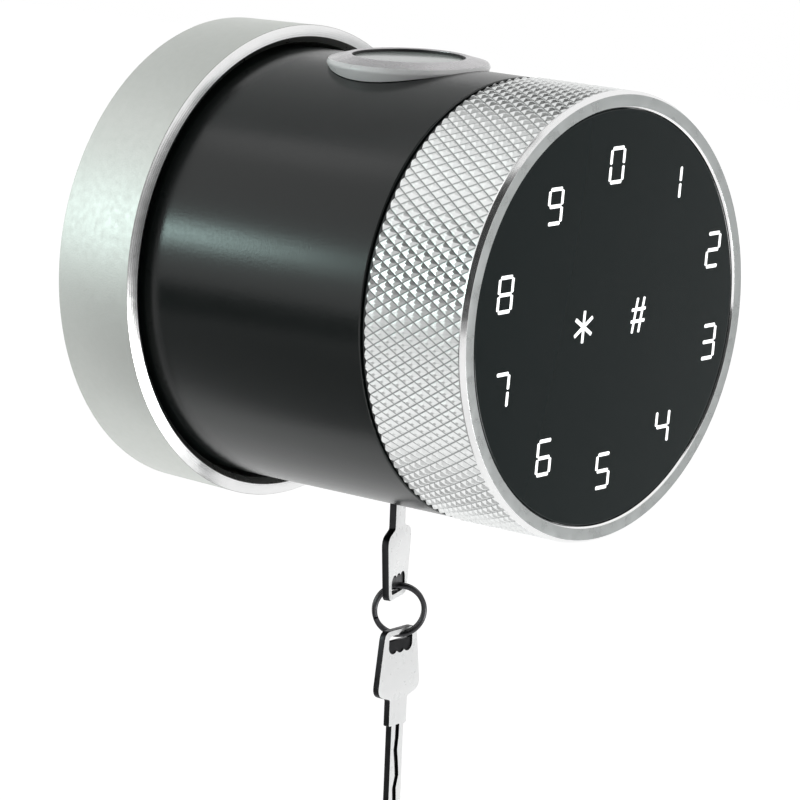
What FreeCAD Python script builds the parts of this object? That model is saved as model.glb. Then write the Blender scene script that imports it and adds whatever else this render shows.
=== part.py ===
import FreeCAD, Part
import math
import os
import re
import Sketcher

# Fingerprint door lock: a round knob on a wall rose, with a turning front head, a
# fingerprint reader on top and an override key cylinder underneath.
# Frame: the knob's axis is Y, the door face is the plane y = 0, the front looks
# along -Y, +Z is up and the origin is the centre of the rose's back.
# Sizes in millimetres. "depth" is the distance in front of the door.

os.makedirs("parts", exist_ok=True)
doc = FreeCAD.newDocument("DoorLock")

SIZES = {
    # rose and the plate in its back
    "rose_back_step": 3.3,
    "rose_front_step": 3.7,
    "rose_edge_depth": 15.8,
    "rose_crest_step": 1.8,
    "rose_crest_depth": 16.34,
    "rose_lip_drop": 0.74,
    "rose_wall_gap": 0.8,
    "ledge_width": 1.8,
    "ledge_thickness": 1.5,
    "plate_thickness": 3.0,
    "fit_gap": 0.05,
    "gasket_inner_radius": 37.4,
    "gasket_width": 1.2,
    "gasket_depth": 1.0,
    "fixing_spacing": 38.0,
    "fixing_radius": 2.5,
    "cable_slot_width": 12.0,
    "cable_slot_height": 5.0,
    "cable_slot_drop": 17.0,
    # barrel
    "barrel_radius": 36.0,
    "barrel_wall": 2.2,
    "barrel_lip": 1.0,
    "barrel_chamfer": 0.2,
    "flange_inner_radius": 24.0,
    "flange_thickness": 3.5,
    "plate_screw_circle": 29.0,
    "plate_screw_radius": 1.45,
    "screw_head_radius": 2.7,
    "screw_head_depth": 1.8,
    # front bulkhead and the head's bearing
    "bulkhead_step": 0.8,
    "bulkhead_clearance": 2.05,
    "bulkhead_thickness": 3.6,
    "bearing_radius": 10.0,
    "bearing_flange_radius": 12.0,
    "bearing_flange_thickness": 0.8,
    "bearing_length": 4.5,
    # turning head
    "head_gap": 0.4,
    "head_step": 0.2,
    "head_length": 20.6,
    "head_bevel": 0.8,
    "rim_outer_radius": 35.64,
    "rim_inner_radius": 33.75,
    "head_back_chamfer": 0.25,
    "knurl_starts": 120,
    "knurl_rows": 12,
    "knurl_back_land": 0.7,
    "knurl_height": 0.42,
    "knurl_front_land": 1.0,
    "knurl_end_drop": 0.12,
    "head_floor": 2.0,
    "head_bore_radius": 32.0,
    "glass_radius": 33.35,
    "glass_drop": 0.24,
    "glass_thickness": 1.8,
    "glass_chamfer": 0.3,
    "touch_board_thickness": 1.6,
    "carrier_wall": 2.0,
    "carrier_web_rise": 7.6,
    "carrier_web": 2.0,
    # drive shaft, clutch and output hub
    "shaft_radius": 6.0,
    "shaft_bore_radius": 2.6,
    "shaft_flats": 9.6,
    "shaft_flats_depth": 34.0,
    "shaft_shoulder_depth": 15.0,
    "shaft_nose_radius": 4.0,
    "shaft_nose_length": 4.5,
    "shaft_flange_radius": 14.0,
    "shaft_flange_thickness": 2.0,
    "shaft_screw_circle": 10.5,
    "circlip_gap": 2.4,
    "circlip_thickness": 1.0,
    "circlip_groove_radius": 5.2,
    "circlip_radius": 8.0,
    "spring_gap": 13.4,
    "spring_length": 10.5,
    "spring_inner_radius": 6.6,
    "spring_wire": 1.6,
    "hub_radius": 9.0,
    "hub_flange_radius": 12.5,
    "hub_flange_thickness": 3.0,
    "hub_front_depth": 14.0,
    "socket_size": 8.0,
    "socket_depth": 9.0,
    "socket_web": 1.0,
    "slot_width": 4.0,
    "slot_depth": 3.0,
    "thrust_gap": 0.1,
    "bridge_radius": 20.0,
    "bridge_thickness": 2.0,
    "bridge_post_circle": 17.0,
    "bridge_post_radius": 2.5,
    "collar_radius": 9.0,
    "collar_back_depth": 17.6,
    "collar_length": 8.4,
    "clutch_gap": 0.6,
    "dog_width": 3.8,
    "dog_overlap": 1.0,
    "dog_inset": 0.4,
    "collar_flat_inset": 1.0,
    "groove_radius": 7.4,
    "groove_offset": 3.0,
    "groove_width": 2.4,
    "fork_gap": 0.1,
    "fork_half_width": 15.0,
    "fork_ear": 23.0,
    "fork_bottom": 18.0,
    "fork_shelf": 8.0,
    "fork_top": 4.0,
    "fork_prong": 12.0,
    "tab_width": 6.0,
    "rod_offset": 12.5,
    "rod_drop": 12.0,
    "rod_radius": 1.5,
    "return_coil_radius": 2.9,
    "return_coil_bore": 1.9,
    # clutch motor and control board
    "motor_offset": 20.0,
    "motor_width": 10.0,
    "motor_height": 12.0,
    "motor_length": 24.0,
    "motor_screw_radius": 1.5,
    "motor_screw_end_depth": 12.0,
    "board_offset": 20.0,
    "board_thickness": 1.6,
    "board_height": 32.0,
    "board_back_depth": 12.0,
    # fingerprint reader on the top
    "reader_depth": 39.85,
    "bezel_foot_radius": 11.6,
    "bezel_radius": 13.4,
    "bezel_edge_drop": 0.25,
    "bezel_corner_inset": 0.35,
    "bezel_corner_rise": 0.48,
    "bezel_knee_radius": 10.9,
    "bezel_knee_rise": 1.02,
    "bezel_crest_radius": 9.9,
    "bezel_crest_rise": 1.3,
    "bezel_skirt_drop": 3.5,
    "bezel_bore_radius": 9.3,
    "bezel_bore_rise": 1.15,
    "neck_radius": 12.0,
    "neck_drop": 9.5,
    "window_radius": 9.1,
    "window_rise": 0.72,
    "window_thickness": 1.1,
    "module_drop": 7.0,
    "reader_nut_radius": 15.5,
    "reader_nut_thickness": 2.6,
    # key cylinder in the underside
    "cylinder_shift": 1.55,
    "cylinder_radius": 7.0,
    "cylinder_length": 18.3,
    "cylinder_sink": 0.7,
    "key_standoff": 1.2,
    "cylinder_nut_radius": 10.5,
    "cylinder_nut_thickness": 2.5,
    "plug_radius": 5.0,
    "plug_recess": 0.2,
    "plug_tail_radius": 2.0,
    "cam_thickness": 3.0,
    "cam_lift": 3.0,
    "cam_base": 5.0,
    "cam_turn": 90.0,
    "cam_boss_radius": 3.4,
    "cam_gap": 0.15,
    "cam_steps": 12,
    "cam_clip_radius": 3.0,
    "cam_clip_thickness": 0.8,
    # keys and their ring
    "key_thickness": 1.2,
    "blade_width": 3.3,
    "blade_length": 19.0,
    "blade_tip": 1.2,
    "neck_width": 4.7,
    "neck_length": 4.6,
    "bow_length": 12.0,
    "bow_width": 11.5,
    "bow_end_width": 8.4,
    "bow_shoulder": 1.8,
    "bow_corner": 1.6,
    "key_hole_width": 6.2,
    "key_hole_lobe": 1.05,
    "key_hole_height": 3.1,
    "key_hole_rim": 0.95,
    "key_track_width": 1.0,
    "key_track_depth": 0.45,
    "key_slot_gap": 0.08,
    "key_angle": 20.0,
    "spare_key_angle": 2.0,
    "ring_radius": 4.6,
    "ring_wire": 0.9,
    "ring_hang": 0.3,
    "ring_turn_share": 0.45,
    "ring_angle": 45.0,
    "ring_side": 1.2,
    "ring_lean": 0.5,
}

FUNCTIONS = {"sqrt", "cos", "sin", "deg"}

sheet = doc.addObject("Spreadsheet::Sheet", "Sizes")
for row, (name, value) in enumerate(SIZES.items(), start=1):
    sheet.set(f"A{row}", name)
    sheet.set(f"B{row}", str(value))
    sheet.setAlias(f"B{row}", name)
doc.recompute()


def bound(text):
    """An expression on the sheet, from a formula that uses the sizes' plain names."""
    return re.sub(r"[a-z][a-z_]+", lambda m: m[0] if m[0] in FUNCTIONS else "Sizes." + m[0], str(text))


def value_of(text):
    return float(sheet.evalExpression(bound(text)))


# Placements: "front" turns a piece's own Z to the depth axis and keeps X;
# "up" keeps Z; "down" turns Z downwards.

FRONT = FreeCAD.Rotation(FreeCAD.Vector(1, 0, 0), 90)
UP = FreeCAD.Rotation()
DOWN = FreeCAD.Rotation(FreeCAD.Vector(1, 0, 0), 180)


def place(item, rotation=FRONT, x="0", y="0", z="0"):
    item.Placement = FreeCAD.Placement(FreeCAD.Vector(), rotation)
    for axis, text in (("x", x), ("y", y), ("z", z)):
        item.setExpression("Placement.Base." + axis, bound(text))
    return item


# Sketches and bodies

def tie(sketch, geometry, axis, text):
    """Holds the start point of a sketch element at a coordinate given by a formula."""
    value = value_of(text)
    kind = "DistanceX" if axis == "x" else "DistanceY"
    if abs(value) < 1e-9:
        sketch.addConstraint(Sketcher.Constraint("PointOnObject", geometry, 1, -2 if axis == "x" else -1))
        return
    if value > 0:
        index = sketch.addConstraint(Sketcher.Constraint(kind, -1, 1, geometry, 1, value))
        sketch.setExpression(f"Constraints[{index}]", bound(text))
    else:
        index = sketch.addConstraint(Sketcher.Constraint(kind, geometry, 1, -1, 1, -value))
        sketch.setExpression(f"Constraints[{index}]", bound(f"-({text})"))


def draw_outline(sketch, corners):
    points = [FreeCAD.Vector(value_of(x), value_of(y), 0) for x, y in corners]
    first = sketch.GeometryCount
    for index, start in enumerate(points):
        end = points[(index + 1) % len(points)]
        sketch.addGeometry(Part.LineSegment(start, end), False)
    for index, (x, y) in enumerate(corners):
        following = first + (index + 1) % len(points)
        sketch.addConstraint(Sketcher.Constraint("Coincident", first + index, 2, following, 1))
        tie(sketch, first + index, "x", x)
        tie(sketch, first + index, "y", y)


def draw_circle(sketch, x, y, radius):
    centre = FreeCAD.Vector(value_of(x), value_of(y), 0)
    circle = Part.Circle(centre, FreeCAD.Vector(0, 0, 1), value_of(radius))
    index = sketch.addGeometry(circle, False)
    for axis, text in (("x", x), ("y", y)):
        tie_centre(sketch, index, axis, text)
    size = sketch.addConstraint(Sketcher.Constraint("Radius", index, value_of(radius)))
    sketch.setExpression(f"Constraints[{size}]", bound(radius))


def tie_centre(sketch, geometry, axis, text):
    value = value_of(text)
    kind = "DistanceX" if axis == "x" else "DistanceY"
    if abs(value) < 1e-9:
        sketch.addConstraint(Sketcher.Constraint("PointOnObject", geometry, 3, -2 if axis == "x" else -1))
        return
    if value > 0:
        index = sketch.addConstraint(Sketcher.Constraint(kind, -1, 1, geometry, 3, value))
        sketch.setExpression(f"Constraints[{index}]", bound(text))
    else:
        index = sketch.addConstraint(Sketcher.Constraint(kind, geometry, 3, -1, 1, -value))
        sketch.setExpression(f"Constraints[{index}]", bound(f"-({text})"))


def new_body(label):
    body = doc.addObject("PartDesign::Body", "Body_" + label)
    body.Label = label
    return body


def new_sketch(body, role, name, offset=None):
    plane = next(item for item in body.Origin.OriginFeatures if item.Role == role)
    sketch = body.newObject("Sketcher::SketchObject", name)
    sketch.AttachmentSupport = [(plane, "")]
    sketch.MapMode = "FlatFace"
    if offset:
        sketch.setExpression("AttachmentOffset.Base.z", bound(offset))
    return sketch


def turned(label, corners):
    """A body turned about its own Z from an outline of radius and height."""
    body = new_body(label)
    sketch = new_sketch(body, "XZ_Plane", "Profile_" + label)
    draw_outline(sketch, corners)
    axis = next(item for item in body.Origin.OriginFeatures if item.Role == "Z_Axis")
    turn = body.newObject("PartDesign::Revolution", "Turned_" + label)
    turn.Profile = sketch
    turn.ReferenceAxis = (axis, [""])
    turn.Angle = 360
    return body


def padded(label, corners, bottom, thickness, circles=()):
    """A body padded along its own Z from an outline with round holes."""
    body = new_body(label)
    sketch = new_sketch(body, "XY_Plane", "Profile_" + label, bottom)
    draw_outline(sketch, corners)
    for x, y, radius in circles:
        draw_circle(sketch, x, y, radius)
    pad = body.newObject("PartDesign::Pad", "Pad_" + label)
    pad.Profile = sketch
    pad.setExpression("Length", bound(thickness))
    return body


# Primitives and booleans

def cylinder(label, radius, height, rotation=FRONT, x="0", y="0", z="0"):
    item = doc.addObject("Part::Cylinder", "Cylinder_" + label)
    item.Label = label
    item.setExpression("Radius", bound(radius))
    item.setExpression("Height", bound(height))
    return place(item, rotation, x, y, z)


def box(label, width, length, height, x, y, z):
    """A box along the frame's axes, from its centre in x and its low y and z."""
    item = doc.addObject("Part::Box", "Box_" + label)
    item.Label = label
    item.setExpression("Length", bound(width))
    item.setExpression("Width", bound(length))
    item.setExpression("Height", bound(height))
    return place(item, UP, f"({x}) - ({width}) / 2", y, z)


def joined(label, pieces):
    item = doc.addObject("Part::MultiFuse", "Join_" + label)
    item.Label = label
    item.Shapes = pieces
    item.Refine = True
    return item


def cut(label, base, tools):
    """The base less its tools, checked later to have lost some volume."""
    tool = tools[0] if len(tools) == 1 else joined(label + " tools", tools)
    item = doc.addObject("Part::Cut", "Cut_" + label)
    item.Label = label
    item.Base = base
    item.Tool = tool
    CUTS.append(item)
    return item


CUTS = []
PARTS = []


def part(item):
    PARTS.append(item)
    return item


def ring_of(label, count, circle, start, make):
    """A group of like pieces spaced evenly on a circle in the front plane."""
    pieces = []
    for index in range(count):
        angle = f"{start + 360 * index / count} deg"
        pieces.append(make(f"{label} {index + 1}", f"{circle} * cos({angle})", f"{circle} * sin({angle})"))
    return pieces


SHELL_BORE = "barrel_radius - barrel_wall"
ROSE_BORE = "barrel_radius + rose_wall_gap"
CIRCLIP_BACK = "(reader_depth + reader_nut_radius + bulkhead_clearance - circlip_gap)"
SPRING_BACK = "(reader_depth + reader_nut_radius + bulkhead_clearance - spring_gap)"
LEDGE_FRONT = "(plate_thickness + ledge_thickness)"
LEDGE_BORE = f"({ROSE_BORE} - ledge_width)"
BULKHEAD_RADIUS = "(barrel_radius - barrel_wall + bulkhead_step)"
BULKHEAD_BACK = "(reader_depth + reader_nut_radius + bulkhead_clearance)"
BULKHEAD_FRONT = f"({BULKHEAD_BACK} + bulkhead_thickness)"
BARREL_FRONT = f"({BULKHEAD_FRONT} + barrel_lip)"
CYLINDER_DEPTH = "(reader_depth + cylinder_shift)"
CYLINDER_FACE = "(barrel_radius - cylinder_sink)"
CYLINDER_TOP = f"({CYLINDER_FACE} - cylinder_length)"
HEAD_BACK = f"({BARREL_FRONT} + head_gap)"
RIM_DEPTH = f"({HEAD_BACK} + head_length)"
GLASS_DEPTH = f"({RIM_DEPTH} - glass_drop)"
FLOOR_FRONT = f"({HEAD_BACK} + head_floor)"
WEB_BACK = f"({FLOOR_FRONT} + carrier_web_rise)"
GLASS_BACK = f"({GLASS_DEPTH} - glass_thickness)"
KNURL_BACK = f"({HEAD_BACK} + knurl_back_land)"
KNURL_FRONT = f"({RIM_DEPTH} - knurl_front_land)"


# Rose, mounting plate, gasket and their screws

def make_rose():
    outline = [
        ("barrel_radius + rose_back_step", "0"),
        ("barrel_radius + rose_front_step", "rose_edge_depth"),
        ("barrel_radius + rose_crest_step", "rose_crest_depth"),
        (ROSE_BORE, "rose_crest_depth - rose_lip_drop"),
        (ROSE_BORE, LEDGE_FRONT),
        (LEDGE_BORE, LEDGE_FRONT),
        (LEDGE_BORE, "plate_thickness"),
        (ROSE_BORE, "plate_thickness"),
        (ROSE_BORE, "0"),
        ("gasket_inner_radius", "0"),
        ("gasket_inner_radius", "gasket_depth"),
        ("gasket_inner_radius + gasket_width", "gasket_depth"),
        ("gasket_inner_radius + gasket_width", "0"),
    ]
    part(place(turned("rose_cover", outline)))


def make_gasket():
    outline = [
        ("gasket_inner_radius + fit_gap", "0"),
        ("gasket_inner_radius + gasket_width - fit_gap", "0"),
        ("gasket_inner_radius + gasket_width - fit_gap", "gasket_depth - fit_gap"),
        ("gasket_inner_radius + fit_gap", "gasket_depth - fit_gap"),
    ]
    part(place(turned("door_gasket", outline)))


def plate_screw(name, x, z):
    head = cylinder(name + " head", "screw_head_radius", "screw_head_depth - fit_gap", x=x, y="-fit_gap", z=z)
    shank_length = "plate_thickness + flange_thickness - screw_head_depth"
    shank = cylinder(name + " shank", "plate_screw_radius", shank_length, x=x, y="-screw_head_depth", z=z)
    return joined(name, [head, shank])


def make_mounting_plate():
    outline = [
        ("hub_radius + fit_gap", "0"),
        (ROSE_BORE + " - fit_gap", "0"),
        (ROSE_BORE + " - fit_gap", "plate_thickness"),
        ("hub_radius + fit_gap", "plate_thickness"),
    ]
    blank = place(turned("mounting plate blank", outline))
    tools = []
    for side in (-1, 1):
        tools.append(cylinder(f"fixing hole {side}", "fixing_radius", "plate_thickness", x=f"{side} * fixing_spacing / 2"))
    slot = box("cable slot", "cable_slot_width", "plate_thickness", "cable_slot_height",
               "0", "-plate_thickness", "-cable_slot_drop - cable_slot_height / 2")
    tools.append(slot)

    def hole(name, x, z):
        return cylinder(name, "plate_screw_radius + fit_gap", "plate_thickness", x=x, z=z)

    def counterbore(name, x, z):
        return cylinder(name, "screw_head_radius + fit_gap", "screw_head_depth", x=x, z=z)

    tools += ring_of("plate hole", 4, "plate_screw_circle", 45, hole)
    tools += ring_of("plate counterbore", 4, "plate_screw_circle", 45, counterbore)
    part(cut("mounting_plate", blank, tools))
    part(joined("plate_screws", ring_of("plate screw", 4, "plate_screw_circle", 45, plate_screw)))


# Barrel with its reader hole, cylinder hole and rear flange

def make_barrel():
    outline = [
        ("flange_inner_radius", "plate_thickness"),
        (LEDGE_BORE + " - fit_gap", "plate_thickness"),
        (LEDGE_BORE + " - fit_gap", LEDGE_FRONT),
        ("barrel_radius", LEDGE_FRONT),
        ("barrel_radius", BARREL_FRONT + " - barrel_chamfer"),
        ("barrel_radius - barrel_chamfer", BARREL_FRONT),
        (BULKHEAD_RADIUS, BARREL_FRONT),
        (BULKHEAD_RADIUS, BULKHEAD_BACK),
        (SHELL_BORE, BULKHEAD_BACK),
        (SHELL_BORE, "plate_thickness + flange_thickness"),
        ("flange_inner_radius", "plate_thickness + flange_thickness"),
    ]
    shell = place(turned("barrel shell", outline))

    def hole(name, x, z):
        return cylinder(name, "plate_screw_radius + fit_gap", "flange_thickness", x=x, y="-plate_thickness", z=z)

    tools = ring_of("flange hole", 4, "plate_screw_circle", 45, hole)
    tools.append(cylinder("reader hole", "neck_radius + fit_gap", "barrel_radius", UP, y="-reader_depth"))
    tools.append(cylinder("key cylinder hole", "cylinder_radius + fit_gap", "barrel_radius", DOWN, y="-" + CYLINDER_DEPTH))
    part(cut("barrel", shell, tools))


# Front bulkhead, the head's bush and the torsion spring that brings the head back

def make_bulkhead():
    outline = [
        ("bearing_radius", BULKHEAD_BACK),
        (BULKHEAD_RADIUS + " - fit_gap", BULKHEAD_BACK),
        (BULKHEAD_RADIUS + " - fit_gap", BULKHEAD_FRONT),
        ("bearing_radius", BULKHEAD_FRONT),
    ]
    part(place(turned("front_bulkhead", outline)))
    flange_front = BULKHEAD_FRONT + " + bearing_flange_thickness"
    bush = [
        ("shaft_radius + fit_gap", BULKHEAD_FRONT + " - bearing_length"),
        ("bearing_radius", BULKHEAD_FRONT + " - bearing_length"),
        ("bearing_radius", BULKHEAD_FRONT),
        ("bearing_flange_radius", BULKHEAD_FRONT),
        ("bearing_flange_radius", flange_front),
        ("shaft_radius + fit_gap", flange_front),
    ]
    part(place(turned("head_bush", bush)))
    spring = [
        ("spring_inner_radius", SPRING_BACK),
        ("spring_inner_radius + spring_wire", SPRING_BACK),
        ("spring_inner_radius + spring_wire", SPRING_BACK + " + spring_length"),
        ("spring_inner_radius", SPRING_BACK + " + spring_length"),
    ]
    part(place(turned("return_spring", spring)))


# The knurl: pyramids between two crossing sets of grooves, in rows half a pitch apart.
# Every second row is shifted by half a step, so four neighbours bound each diamond.

def front_point(radius, depth, angle):
    return FreeCAD.Vector(radius * math.sin(angle), -depth, radius * math.cos(angle))


def triangle(a, b, c):
    return Part.Face(Part.makePolygon([a, b, c, a]))


def knurl_rows():
    """For each row, its depth, its valley points and its peaks, peak k after valley k."""
    starts = int(value_of("knurl_starts"))
    last = int(value_of("knurl_rows"))
    peak = value_of("barrel_radius + head_step")
    valley = peak - value_of("knurl_height")
    back = value_of(KNURL_BACK)
    step = (value_of(KNURL_FRONT) - back) / last
    rows = []
    for row in range(last + 1):
        depth = back + row * step
        # the end rows are cut through their diamonds, a little under the crest
        top = peak - value_of("knurl_end_drop") if row in (0, last) else peak
        valleys = []
        peaks = []
        for k in range(starts):
            turn = math.tau / starts
            angle = turn * (k + (row % 2) / 2)
            valleys.append(front_point(valley, depth, angle))
            peaks.append(front_point(top, depth, angle + turn / 2))
        rows.append((valleys, peaks))
    return rows


def knurl_faces(rows):
    faces = []
    for row, (valleys, peaks) in enumerate(rows):
        count = len(valleys)
        for k in range(count):
            left = valleys[k]
            right = valleys[(k + 1) % count]
            beside = (k + 1) % count if row % 2 else k
            for other in (row - 1, row + 1):
                if 0 <= other < len(rows):
                    corner = rows[other][0][beside]
                    faces.append(triangle(left, corner, peaks[k]))
                    faces.append(triangle(corner, right, peaks[k]))
    return faces


def knurl_end(row, edge):
    """The flat ring between the shell's round edge and the zigzag end of the knurl."""
    zigzag = []
    for valley, peak in zip(*row):
        zigzag += [valley, peak]
    inner = Part.makePolygon(zigzag + [zigzag[0]])
    return Part.makeFace([Part.Wire(edge), inner], "Part::FaceMakerBullseye")


def knurled(label, shell):
    """The shell with the plain floor of its band replaced by the knurl."""
    doc.recompute()
    crest = value_of("barrel_radius + head_step")
    valley = crest - value_of("knurl_height")
    band_back = value_of(KNURL_BACK)
    band_front = value_of(KNURL_FRONT)
    rows = knurl_rows()
    kept = []
    ends = []
    for face in shell.Shape.Faces:
        box_of_face = face.BoundBox
        in_band = -box_of_face.YMax > band_back - 1e-4 and -box_of_face.YMin < band_front + 1e-4
        if not in_band or box_of_face.XMax < valley - 1e-4:
            kept.append(face)
            continue
        for depth, row in ((band_back, rows[0]), (band_front, rows[-1])):
            for edge in face.Edges:
                round_edge = isinstance(edge.Curve, Part.Circle) and abs(edge.Curve.Radius - crest) < 1e-6
                flat_face = box_of_face.YLength < 1e-4
                if flat_face and round_edge and abs(edge.Curve.Center.y + depth) < 1e-6:
                    ends.append(knurl_end(row, edge))
    sewn = Part.makeShell(kept + ends + knurl_faces(rows))
    sewn.sewShape()
    item = doc.addObject("Part::Feature", "Knurl_" + label)
    item.Label = label
    item.Shape = Part.makeSolid(sewn)
    return item


# Turning head: knurled shell, glass, touch board, carrier, shaft and circlip

def make_head():
    shell = [
        ("shaft_radius + fit_gap", HEAD_BACK),
        ("barrel_radius + head_step - head_back_chamfer", HEAD_BACK),
        ("barrel_radius + head_step", HEAD_BACK + " + head_back_chamfer"),
        ("barrel_radius + head_step", KNURL_BACK),
        ("barrel_radius + head_step - knurl_height", KNURL_BACK),
        ("barrel_radius + head_step - knurl_height", KNURL_FRONT),
        ("barrel_radius + head_step", KNURL_FRONT),
        ("barrel_radius + head_step", RIM_DEPTH + " - head_bevel"),
        ("rim_outer_radius", RIM_DEPTH),
        ("rim_inner_radius", RIM_DEPTH),
        ("glass_radius + fit_gap", GLASS_DEPTH),
        ("glass_radius + fit_gap", GLASS_BACK),
        ("head_bore_radius", GLASS_BACK),
        ("head_bore_radius", FLOOR_FRONT),
        ("shaft_radius + fit_gap", FLOOR_FRONT),
    ]
    blank = place(turned("head shell", shell))

    def hole(name, x, z):
        return cylinder(name, "plate_screw_radius + fit_gap", "head_floor", x=x, y="-" + HEAD_BACK, z=z)

    bored = cut("head shell with holes", blank, ring_of("floor hole", 4, "shaft_screw_circle", 45, hole))
    part(knurled("knurled_ring", bored))
    glass = [
        ("0", GLASS_BACK),
        ("glass_radius", GLASS_BACK),
        ("glass_radius", GLASS_DEPTH + " - glass_chamfer"),
        ("glass_radius - glass_chamfer", GLASS_DEPTH),
        ("0", GLASS_DEPTH),
    ]
    part(place(turned("glass_panel", glass)))
    board_back = f"({GLASS_BACK} - touch_board_thickness)"
    board = [
        ("0", board_back),
        ("head_bore_radius - fit_gap", board_back),
        ("head_bore_radius - fit_gap", GLASS_BACK),
        ("0", GLASS_BACK),
    ]
    part(place(turned("touch_board", board)))
    carrier = [
        ("head_bore_radius - fit_gap - carrier_wall", FLOOR_FRONT),
        ("head_bore_radius - fit_gap", FLOOR_FRONT),
        ("head_bore_radius - fit_gap", board_back),
        ("head_bore_radius - fit_gap - carrier_wall", board_back),
        ("head_bore_radius - fit_gap - carrier_wall", WEB_BACK + " + carrier_web"),
        ("shaft_radius", WEB_BACK + " + carrier_web"),
        ("shaft_radius", WEB_BACK),
        ("head_bore_radius - fit_gap - carrier_wall", WEB_BACK),
    ]
    part(place(turned("panel_carrier", carrier)))


def shaft_screw(name, x, z):
    flange_front = FLOOR_FRONT + " + shaft_flange_thickness"
    length = "head_floor + shaft_flange_thickness"
    head = cylinder(name + " head", "screw_head_radius", "screw_head_depth", x=x, y=f"-({flange_front})", z=z)
    shank = cylinder(name + " shank", "plate_screw_radius", length, x=x, y="-" + HEAD_BACK, z=z)
    return joined(name, [head, shank])


def make_shaft():
    flange_front = FLOOR_FRONT + " + shaft_flange_thickness"
    outline = [
        ("shaft_bore_radius", "shaft_shoulder_depth - shaft_nose_length"),
        ("shaft_nose_radius", "shaft_shoulder_depth - shaft_nose_length"),
        ("shaft_nose_radius", "shaft_shoulder_depth"),
        ("shaft_radius", "shaft_shoulder_depth"),
        ("shaft_radius", CIRCLIP_BACK),
        ("circlip_groove_radius", CIRCLIP_BACK),
        ("circlip_groove_radius", CIRCLIP_BACK + " + circlip_thickness"),
        ("shaft_radius", CIRCLIP_BACK + " + circlip_thickness"),
        ("shaft_radius", FLOOR_FRONT),
        ("shaft_flange_radius", FLOOR_FRONT),
        ("shaft_flange_radius", flange_front),
        ("shaft_bore_radius", flange_front),
    ]
    blank = place(turned("shaft blank", outline))
    flats_length = "(shaft_flats_depth - shaft_shoulder_depth)"
    tools = []
    for side in (-1, 1):
        centre = f"{side} * (shaft_flats / 2 + shaft_radius / 2)"
        tools.append(box(f"flat {side}", "shaft_radius", flats_length, "2 * shaft_radius",
                         centre, "-shaft_flats_depth", "-shaft_radius"))

    def hole(name, x, z):
        return cylinder(name, "plate_screw_radius + fit_gap", "shaft_flange_thickness", x=x, y="-" + FLOOR_FRONT, z=z)

    tools += ring_of("shaft flange hole", 4, "shaft_screw_circle", 45, hole)
    part(cut("drive_shaft", blank, tools))
    part(joined("shaft_screws", ring_of("shaft screw", 4, "shaft_screw_circle", 45, shaft_screw)))
    circlip = [
        ("circlip_groove_radius + fit_gap", CIRCLIP_BACK + " + fit_gap"),
        ("circlip_radius", CIRCLIP_BACK + " + fit_gap"),
        ("circlip_radius", CIRCLIP_BACK + " + circlip_thickness - fit_gap"),
        ("circlip_groove_radius + fit_gap", CIRCLIP_BACK + " + circlip_thickness - fit_gap"),
    ]
    part(place(turned("shaft_circlip", circlip)))


# Output hub and the bridge that keeps it on the plate

HUB_FLANGE_BACK = "(plate_thickness + thrust_gap)"
HUB_FLANGE_FRONT = f"({HUB_FLANGE_BACK} + hub_flange_thickness)"
BRIDGE_BACK = f"({HUB_FLANGE_FRONT} + thrust_gap)"
BRIDGE_FRONT = f"({BRIDGE_BACK} + bridge_thickness)"


def make_hub():
    outline = [
        ("0", "0"),
        ("hub_radius", "0"),
        ("hub_radius", HUB_FLANGE_BACK),
        ("hub_flange_radius", HUB_FLANGE_BACK),
        ("hub_flange_radius", HUB_FLANGE_FRONT),
        ("hub_radius", HUB_FLANGE_FRONT),
        ("hub_radius", "hub_front_depth"),
        ("shaft_nose_radius + fit_gap", "hub_front_depth"),
        ("shaft_nose_radius + fit_gap", "socket_depth + socket_web"),
        ("0", "socket_depth + socket_web"),
    ]
    blank = place(turned("hub blank", outline))
    socket = box("spindle socket", "socket_size", "socket_depth", "socket_size", "0", "-socket_depth", "-socket_size / 2")
    slot = box("dog slot", "2 * hub_radius", "slot_depth", "slot_width", "0", "-hub_front_depth", "-slot_width / 2")
    part(cut("output_hub", blank, [socket, slot]))


def bridge_post(name, x, z):
    return cylinder(name, "bridge_post_radius", BRIDGE_BACK + " - plate_thickness", x=x, y="-plate_thickness", z=z)


def make_bridge():
    outline = [
        ("hub_radius + thrust_gap", BRIDGE_BACK),
        ("bridge_radius", BRIDGE_BACK),
        ("bridge_radius", BRIDGE_FRONT),
        ("hub_radius + thrust_gap", BRIDGE_FRONT),
    ]
    disc = place(turned("bridge disc", outline))
    posts = ring_of("bridge post", 3, "bridge_post_circle", 90, bridge_post)
    part(joined("hub_bridge", [disc] + posts))
    rods = []
    for side in (-1, 1):
        rods.append(cylinder(f"guide rod {side}", "rod_radius", f"{BULKHEAD_BACK} - {BRIDGE_FRONT}",
                             x=f"{side} * rod_offset", y="-" + BRIDGE_FRONT, z="-rod_drop"))
    part(joined("guide_rods", rods))


# Clutch: the sliding collar, its fork, the fork's coil and the motor that pushes it

GROOVE_BACK = "(collar_back_depth + groove_offset)"
FORK_BACK = f"({GROOVE_BACK} + fork_gap)"
FORK_THICKNESS = "(groove_width - 2 * fork_gap)"


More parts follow.
